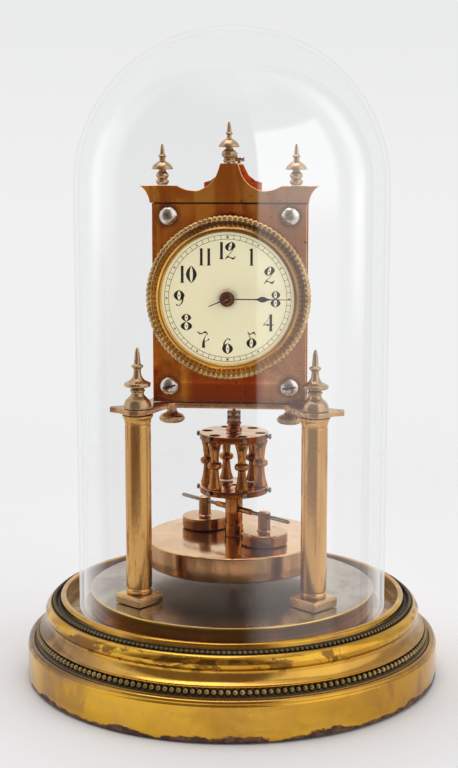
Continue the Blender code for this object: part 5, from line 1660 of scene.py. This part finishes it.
def gallery_ring(which, low, holes):
    """A ring with a centre hole, the given holes, and six screws on necks round its rim."""
    outlines = [circle(GALLERY_RADIUS, 128, at=(PEND_X, PEND_Y))]
    outlines.append(circle(1.9, 24, at=(PEND_X, PEND_Y)))
    parts = [
        sheet(
            "gallery_" + which, outlines + holes, low, low + GALLERY_THICK, GALLERY_BRASS,
            bevel=0.3, upright=False,
        )
    ]
    z = low + GALLERY_THICK / 2
    for k, angle in enumerate(BALUSTER_ANGLES):
        outward = (math.cos(angle), math.sin(angle), 0)
        neck_profile = [(0, 1.4), (0.55, 1.4, 0.05), (0.55, -0.2, 0.05), (0, -0.2)]
        neck = lathe("gallery_neck", neck_profile, 20, DARK_STEEL)
        parts.append(turned_to(neck, (*about_pendulum(GALLERY_RADIUS - 0.05, angle), z), outward))
        parts.append(
            small_screw(
                "gallery_screw", (*about_pendulum(GALLERY_RADIUS + 0.9, angle), z), outward,
                1.35, DARK_STEEL, length=1.0, slot_angle=k * 1.3,
            )
        )
    ring = joined("gallery_%s_fine" % which, parts)
    mount(ring, "pendulum", "pendulum_brass", "gallery_%s_ring" % which)


baluster_holes = [circle(2.75, 32, at=about_pendulum(BALUSTER_RADIUS, a)) for a in BALUSTER_ANGLES]
gallery_ring("upper", GALLERY_TOP - GALLERY_THICK, baluster_holes)
gallery_ring("lower", GALLERY_BOTTOM, [])

FOOT = GALLERY_BOTTOM + GALLERY_THICK + 0.3
HEAD = GALLERY_TOP - GALLERY_THICK - 0.3
WAIST = (FOOT + HEAD) / 2
BALUSTER_PROFILE = [
    (0, HEAD), (3.45, HEAD, 0.12), (3.55, HEAD - 0.9, 0.3), (3.3, HEAD - 1.5, 0.5),
    (2.5, HEAD - 4.2, 1.5), (2.0, WAIST + 3.0, 1.4), (2.0, WAIST + 2.1, 0.2),
    (2.2, WAIST + 1.8, 0.12), (3.4, WAIST + 1.35, 0.6), (3.85, WAIST, 0.9),
    (3.4, WAIST - 1.35, 0.6), (2.2, WAIST - 1.8, 0.12), (2.0, WAIST - 2.1, 0.2),
    (2.0, WAIST - 3.0, 1.4), (2.5, FOOT + 4.2, 1.5), (3.3, FOOT + 1.5, 0.5),
    (3.55, FOOT + 0.9, 0.3), (3.45, FOOT, 0.12), (0, FOOT),
]
for k, angle in enumerate(BALUSTER_ANGLES, start=1):
    baluster = lathe(
        "baluster_fine_%d" % k, BALUSTER_PROFILE, 48, AMBER_BRASS,
        at=(*about_pendulum(BALUSTER_RADIUS, angle), 0), rounding=4,
    )
    mount(baluster, "pendulum", "pendulum_brass", "baluster_%d" % k)

# ==================================================================================================
# pendulum post, disc, rating rod and weights
# ==================================================================================================
ROD_ANGLE = math.radians(-43.0)
ROD_DIRECTION = (math.cos(ROD_ANGLE), math.sin(ROD_ANGLE), 0)
ROD_Z = 80.8
POST_PROFILE = [
    (0, 92.4), (1.5, 92.4, 0.1), (1.5, 89.3, 0.05), (4.35, 89.3, 0.2), (4.5, 88.6, 0.3),
    (4.5, 73.4, 0.2), (4.15, 73.1, 0.12), (4.15, 72.7, 0.12), (4.75, 72.3, 0.25),
    (4.75, 66.7, 0.15), (2.9, 66.7, 0.05), (2.9, 51.4, 0.3), (2.3, 50.6, 0.2), (0, 50.6),
]
DISC_PROFILE = [
    (3.3, 66.4, 0.1), (44.9, 66.4, 0.35), (45.5, 65.8, 0.35), (45.5, 54.3, 0.4),
    (44.8, 53.6, 0.4), (3.3, 53.6, 0.1),
]
WEIGHT_PROFILE = [
    (0, 83.0), (2.5, 83.0, 0.15), (3.05, 82.6, 0.3), (3.15, 82.0, 0.3), (3.15, 74.0, 0.3),
    (3.6, 73.2, 0.4), (4.4, 73.0, 0.1), (11.3, 73.0, 0.2), (11.8, 72.5, 0.2), (11.8, 72.1, 0.1),
    (11.65, 71.95, 0.06), (11.8, 71.8, 0.1), (11.8, 67.4, 0.2), (11.3, 66.8, 0.2), (0, 66.8),
]


def bore_for_rod(obj, x, y, radius, reach, steps, mat):
    """Cuts a hole through a piece along the rating rod."""
    profile = [(0, reach), (radius, reach, 0.01), (radius, -reach, 0.01), (0, -reach)]
    hole = lathe("hole", profile, steps, mat)
    cut(obj, turned_to(hole, (x, y, ROD_Z), ROD_DIRECTION))


post = lathe("pendulum_post_fine", POST_PROFILE, 64, AMBER_BRASS, at=(PEND_X, PEND_Y, 0))
bore_for_rod(post, PEND_X, PEND_Y, radius=1.4, reach=7, steps=28, mat=AMBER_BRASS)
mount(post, "pendulum", "pendulum_brass", "pendulum_post")
disc = lathe(
    "pendulum_disc_fine", DISC_PROFILE, 224, DISC_BRASS,
    at=(PEND_X, PEND_Y, 0), ring=True, rounding=4,
)
mount(disc, "pendulum", "pendulum_brass", "pendulum_disc")


def threaded(name, profile, pitch, depth, zones, steps, mat):
    """A rod along Z, from the top down, with a screw thread inside the zones of its length."""
    start, end = profile[0][1], profile[-1][1]
    rise = pitch / 6

    def radius_at(z):
        for (upper_radius, upper), (lower_radius, lower) in zip(profile, profile[1:]):
            if upper >= z >= lower:
                part = (upper - z) / (upper - lower)
                return upper_radius + (lower_radius - upper_radius) * part

    verts, rows = [], []
    for z in [start - rise * i for i in range(int((start - end) / rise) + 1)] + [end]:
        first = len(verts)
        base = radius_at(z)
        in_thread = any(low < z < high for low, high in zones)
        for k in range(steps if base > 1e-4 else 1):
            radius = base
            if in_thread:
                phase = (z / pitch + k / steps) % 1.0
                radius -= depth * (1.0 - abs(2 * phase - 1.0))
            turn = TAU * k / steps
            verts.append((math.cos(turn) * radius, math.sin(turn) * radius, z))
        rows.append(range(first, len(verts)))
    return finished(name, verts, skin(rows), mat, 60)


ROD_HALF = 40.8
# the upper half of the rod; the lower half mirrors it
HALF_ROD = [
    (0.0, ROD_HALF), (0.55, ROD_HALF - 0.12), (0.95, ROD_HALF - 0.8), (1.0, ROD_HALF - 2.0)
]
ROD_HUB_PROFILE = [
    (0.9, 5.2, 0.05), (1.45, 5.4, 0.15), (1.5, 6.4, 0.1), (1.3, 6.7, 0.1), (1.5, 7.0, 0.1),
    (1.5, 12.6, 0.2), (1.3, 13.4, 0.2), (0.9, 13.6, 0.05),
]
rod_parts = [
    threaded(
        "rod_thread", HALF_ROD + [(radius, -z) for radius, z in reversed(HALF_ROD)],
        pitch=0.7, depth=0.16, zones=[(-29.0, -13.6), (13.6, 29.0)], steps=20, mat=DARK_STEEL,
    )
]
for sign in (-1, 1):
    hub_profile = [(radius, sign * z, corner) for radius, z, corner in ROD_HUB_PROFILE]
    rod_parts.append(lathe("rod_hub", hub_profile, 32, AMBER_BRASS, ring=True))
rod = joined("rate_rod_fine", rod_parts)
turned_to(rod, (PEND_X, PEND_Y, ROD_Z), ROD_DIRECTION)
mount(rod, "rating_rod", "steel", "rate_rod")

for side in SIDES:
    x, y = WEIGHTS[side].x, WEIGHTS[side].y
    weight = lathe("weight_fine_" + side, WEIGHT_PROFILE, 96, WEIGHT_BRASS, at=(x, y, 0))
    bore_for_rod(weight, x, y, radius=1.35, reach=6, steps=24, mat=WEIGHT_BRASS)
    mount(weight, side + "_weight", "pendulum_brass", "weight_" + side)

# ==================================================================================================
# saddle screws: one on the right side, two facing back
# ==================================================================================================
side_screw = small_screw(
    "saddle_side_screw", (3.9, PEND_Y, 258.7), (1, 0, 0), 1.35, NICKEL, length=1.3, slot_angle=0.5
)
mount(side_screw, "frame", "steel")
for side, sign in zip(SIDES, (-1, 1)):
    face_screw = small_screw(
        "saddle_face_screw_" + side, (sign * 3.4, 9.3, 249.2), (0, 1, 0), 1.25, NICKEL,
        length=0.9, slot_angle=0.9 * sign,
    )
    mount(face_screw, "frame", "steel")

# ==================================================================================================
# glass dome: a half sphere on a cylinder, with a rounded foot
# ==================================================================================================
DOME_RADIUS, DOME_WALL, DOME_FOOT, DOME_TOP = 77.5, 2.3, 35.0, 323.0
DOME_INNER = DOME_RADIUS - DOME_WALL
DOME_CENTRE = DOME_TOP - DOME_RADIUS
ARC_STEPS, WALL_STEPS = 44, 12
FOOT_MARGIN = 1.2  # height left below the wall's rows for the rounded foot
WALL_RUN = DOME_CENTRE - DOME_FOOT - FOOT_MARGIN


def dome_arc(radius):
    """From the top down to the wall."""
    turns = [math.pi / 2 * k / ARC_STEPS for k in range(ARC_STEPS + 1)]
    return [(radius * math.sin(a), DOME_CENTRE + radius * math.cos(a)) for a in turns]


dome_profile = dome_arc(DOME_RADIUS)
dome_profile += [
    (DOME_RADIUS, DOME_CENTRE - k * WALL_RUN / WALL_STEPS) for k in range(1, WALL_STEPS + 1)
]
dome_profile += [(DOME_RADIUS, DOME_FOOT, 0.9), (DOME_INNER, DOME_FOOT, 0.9)]
dome_profile += [
    (DOME_INNER, DOME_FOOT + FOOT_MARGIN + k * WALL_RUN / WALL_STEPS) for k in range(WALL_STEPS)
]
dome_profile += dome_arc(DOME_INNER)[::-1]
dome = lathe("glass_dome_fine", dome_profile, 192, GLASS, rounding=4, angle=60)
mount(dome, "dome", "dome_glass", "glass_dome")

# ==================================================================================================
# CAD nodes that keep their form: a material and small bevels
# ==================================================================================================
KEPT = {
    "base_bottom": WOOD,
    "back_plate": RED_LACQUER,
    "barrel": GEAR_BRASS,
    "second_wheel": GEAR_BRASS,
    "third_wheel": GEAR_BRASS,
    "centre_wheel": GEAR_BRASS,
    "escape_wheel": GEAR_BRASS,
    "cannon_pinion": GEAR_BRASS,
    "minute_wheel": GEAR_BRASS,
    "hour_wheel": GEAR_BRASS,
    "mainspring": STEEL,
    "winding_arbor": STEEL,
    "click": STEEL,
    "anchor": STEEL,
    "suspension_fork": AMBER_BRASS,
    "suspension_saddle": PALE_BRASS,
}
for name, mat in KEPT.items():
    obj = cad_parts[name]
    if obj.material_slots:
        for slot in obj.material_slots:
            slot.material = mat
    else:
        obj.data.materials.append(mat)
    weld = obj.modifiers.new("weld", "WELD")
    weld.merge_threshold = 1e-6
    edge = obj.modifiers.new("edge", "BEVEL")
    edge.width = (0.35 if name == "base_bottom" else 0.12) * MM
    edge.segments = 2
    edge.limit_method = "ANGLE"
    edge.angle_limit = math.radians(50)
    edge.use_clamp_overlap = True


# ==================================================================================================
# stage: floor, studio, light, camera (places and sizes in metres)
# ==================================================================================================
def floor_material():
    """Pale paper that fades out, sooner and faster in front of the clock."""
    mat = new_material("stage_floor")
    x, y, _ = mat.xyz
    radius = mat.radius(0.0, 0.0)
    bearing = mat.math("ARCTAN2", x, y * -1.0)
    front = bearing.map(math.radians(-68), math.radians(-54))
    front = front * bearing.map(math.radians(24), math.radians(36), 1.0, 0.0)
    reach = mat.mixf(front, 360.0, 310.0)
    fade = (radius - reach).map(0.0, mat.mixf(front, 260.0, 90.0))
    mottle = mat.noise(0.02, detail=2, rough=0.5)
    paper = mat.mix(mottle, (0.905, 0.912, 0.925), (0.92, 0.925, 0.94))
    diffuse = mat.node("BsdfDiffuse", {0: paper})
    return mat.finish(mat.mix_shaders(fade, diffuse, mat.node("BsdfTransparent")))


def floor():
    mat = floor_material()
    mesh = bpy.data.meshes.new("stage_floor")
    bm = bmesh.new()
    bmesh.ops.create_circle(bm, cap_ends=True, radius=1.05, segments=96)
    bmesh.ops.translate(bm, vec=(0, 0, -0.0003), verts=bm.verts)
    bm.to_mesh(mesh)
    bm.free()
    mesh.materials.append(mat)
    obj = bpy.data.objects.new("stage_floor", mesh)
    bpy.context.scene.collection.objects.link(obj)


def studio_world():
    """A studio that lights the clock, and a plain backdrop that only the camera sees."""
    world = Shader(bpy.data.worlds.new("studio"), "OutputWorld")
    bpy.context.scene.world = world.owner
    direction = world.split(world.node("TexCoord", output="Generated"))
    azimuth, elevation = world.compass(*direction)
    front = azimuth.band(-60.0, 28.0, soft=5.0)
    level = 0.66
    # a bright panel on the right and a dimmer one on the left
    right = azimuth.band(36.0, 104.0, soft=3.0) * elevation.band(-20.0, 58.0, soft=4.0)
    level = world.mixf(right, level, 1.25)
    left = azimuth.band(-125.0, -72.0, soft=4.0) * elevation.band(-12.0, 55.0, soft=4.0)
    level = world.mixf(left, level, 1.00)
    behind = world.top(azimuth.map(128.0, 142.0), azimuth.map(-128.0, -142.0))
    level = world.mixf(behind, level, 0.90)
    level = world.mixf(elevation.map(4.0, -4.0), level, 0.80)  # below the horizon
    level = world.mixf(elevation.map(62.0, 74.0), level, 1.05)  # overhead
    # a dark, warm room in front
    dark = front * elevation.map(66.0, 78.0, 1.0, 0.0)
    level = world.mixf(dark, level, 0.24)
    tint = world.mix(dark, (1.0, 1.0, 1.0), (1.0, 0.78, 0.66))
    studio = world.mix(1.0, tint, world.vec(level, level, level), kind="MULTIPLY")
    plain = elevation.map(-24.0, -9.0)
    plain = world.mix(plain, (0.80, 0.80, 0.805), (0.875, 0.875, 0.885))
    plain = world.mix(elevation.map(-4.0, 6.0), plain, (0.82, 0.825, 0.83))
    seen = world.node("LightPath", output="Is Camera Ray")
    lighting = world.node("Background", {0: studio, 1: 1.0})
    backdrop = world.node("Background", {0: plain, 1: 1.0})
    world.finish(world.mix_shaders(seen, lighting, backdrop))


def top_light():
    """A square soft light above and behind, aimed at the middle of the clock."""
    data = bpy.data.lights.new("top_soft", "AREA")
    data.shape = "RECTANGLE"
    data.size, data.size_y = 0.9, 0.9
    data.energy = 4.0
    light = bpy.data.objects.new("top_soft", data)
    place, target = Vector((-0.15, 0.10, 1.35)), Vector((0, 0, 0.15))
    light.location = place
    light.rotation_euler = (target - place).to_track_quat("-Z", "Y").to_euler()
    bpy.context.scene.collection.objects.link(light)


def camera():
    """Just right of the dial's axis, looking slightly down."""
    data = bpy.data.cameras.new("camera")
    data.sensor_width = 36.0
    data.lens = 73.4
    data.clip_start, data.clip_end = 0.01, 20.0
    obj = bpy.data.objects.new("camera", data)
    obj.location = (0.0642, -0.7705, 0.2761)
    obj.rotation_euler = (math.radians(90 - 9.443), 0.0, math.radians(4.875))
    bpy.context.scene.collection.objects.link(obj)
    bpy.context.scene.camera = obj


floor()
studio_world()
top_light()
camera()
scene = bpy.context.scene
scene.view_settings.view_transform = "Standard"
scene.view_settings.look = "None"
# guards a Blender without the Cycles add-on, whose scenes have no cycles settings
try:
    scene.cycles.use_denoising = True
    scene.cycles.transparent_max_bounces = 16
    scene.cycles.max_bounces = 10
    scene.cycles.sample_clamp_indirect = 6.0
except AttributeError:
    pass

bpy.context.view_layer.update()
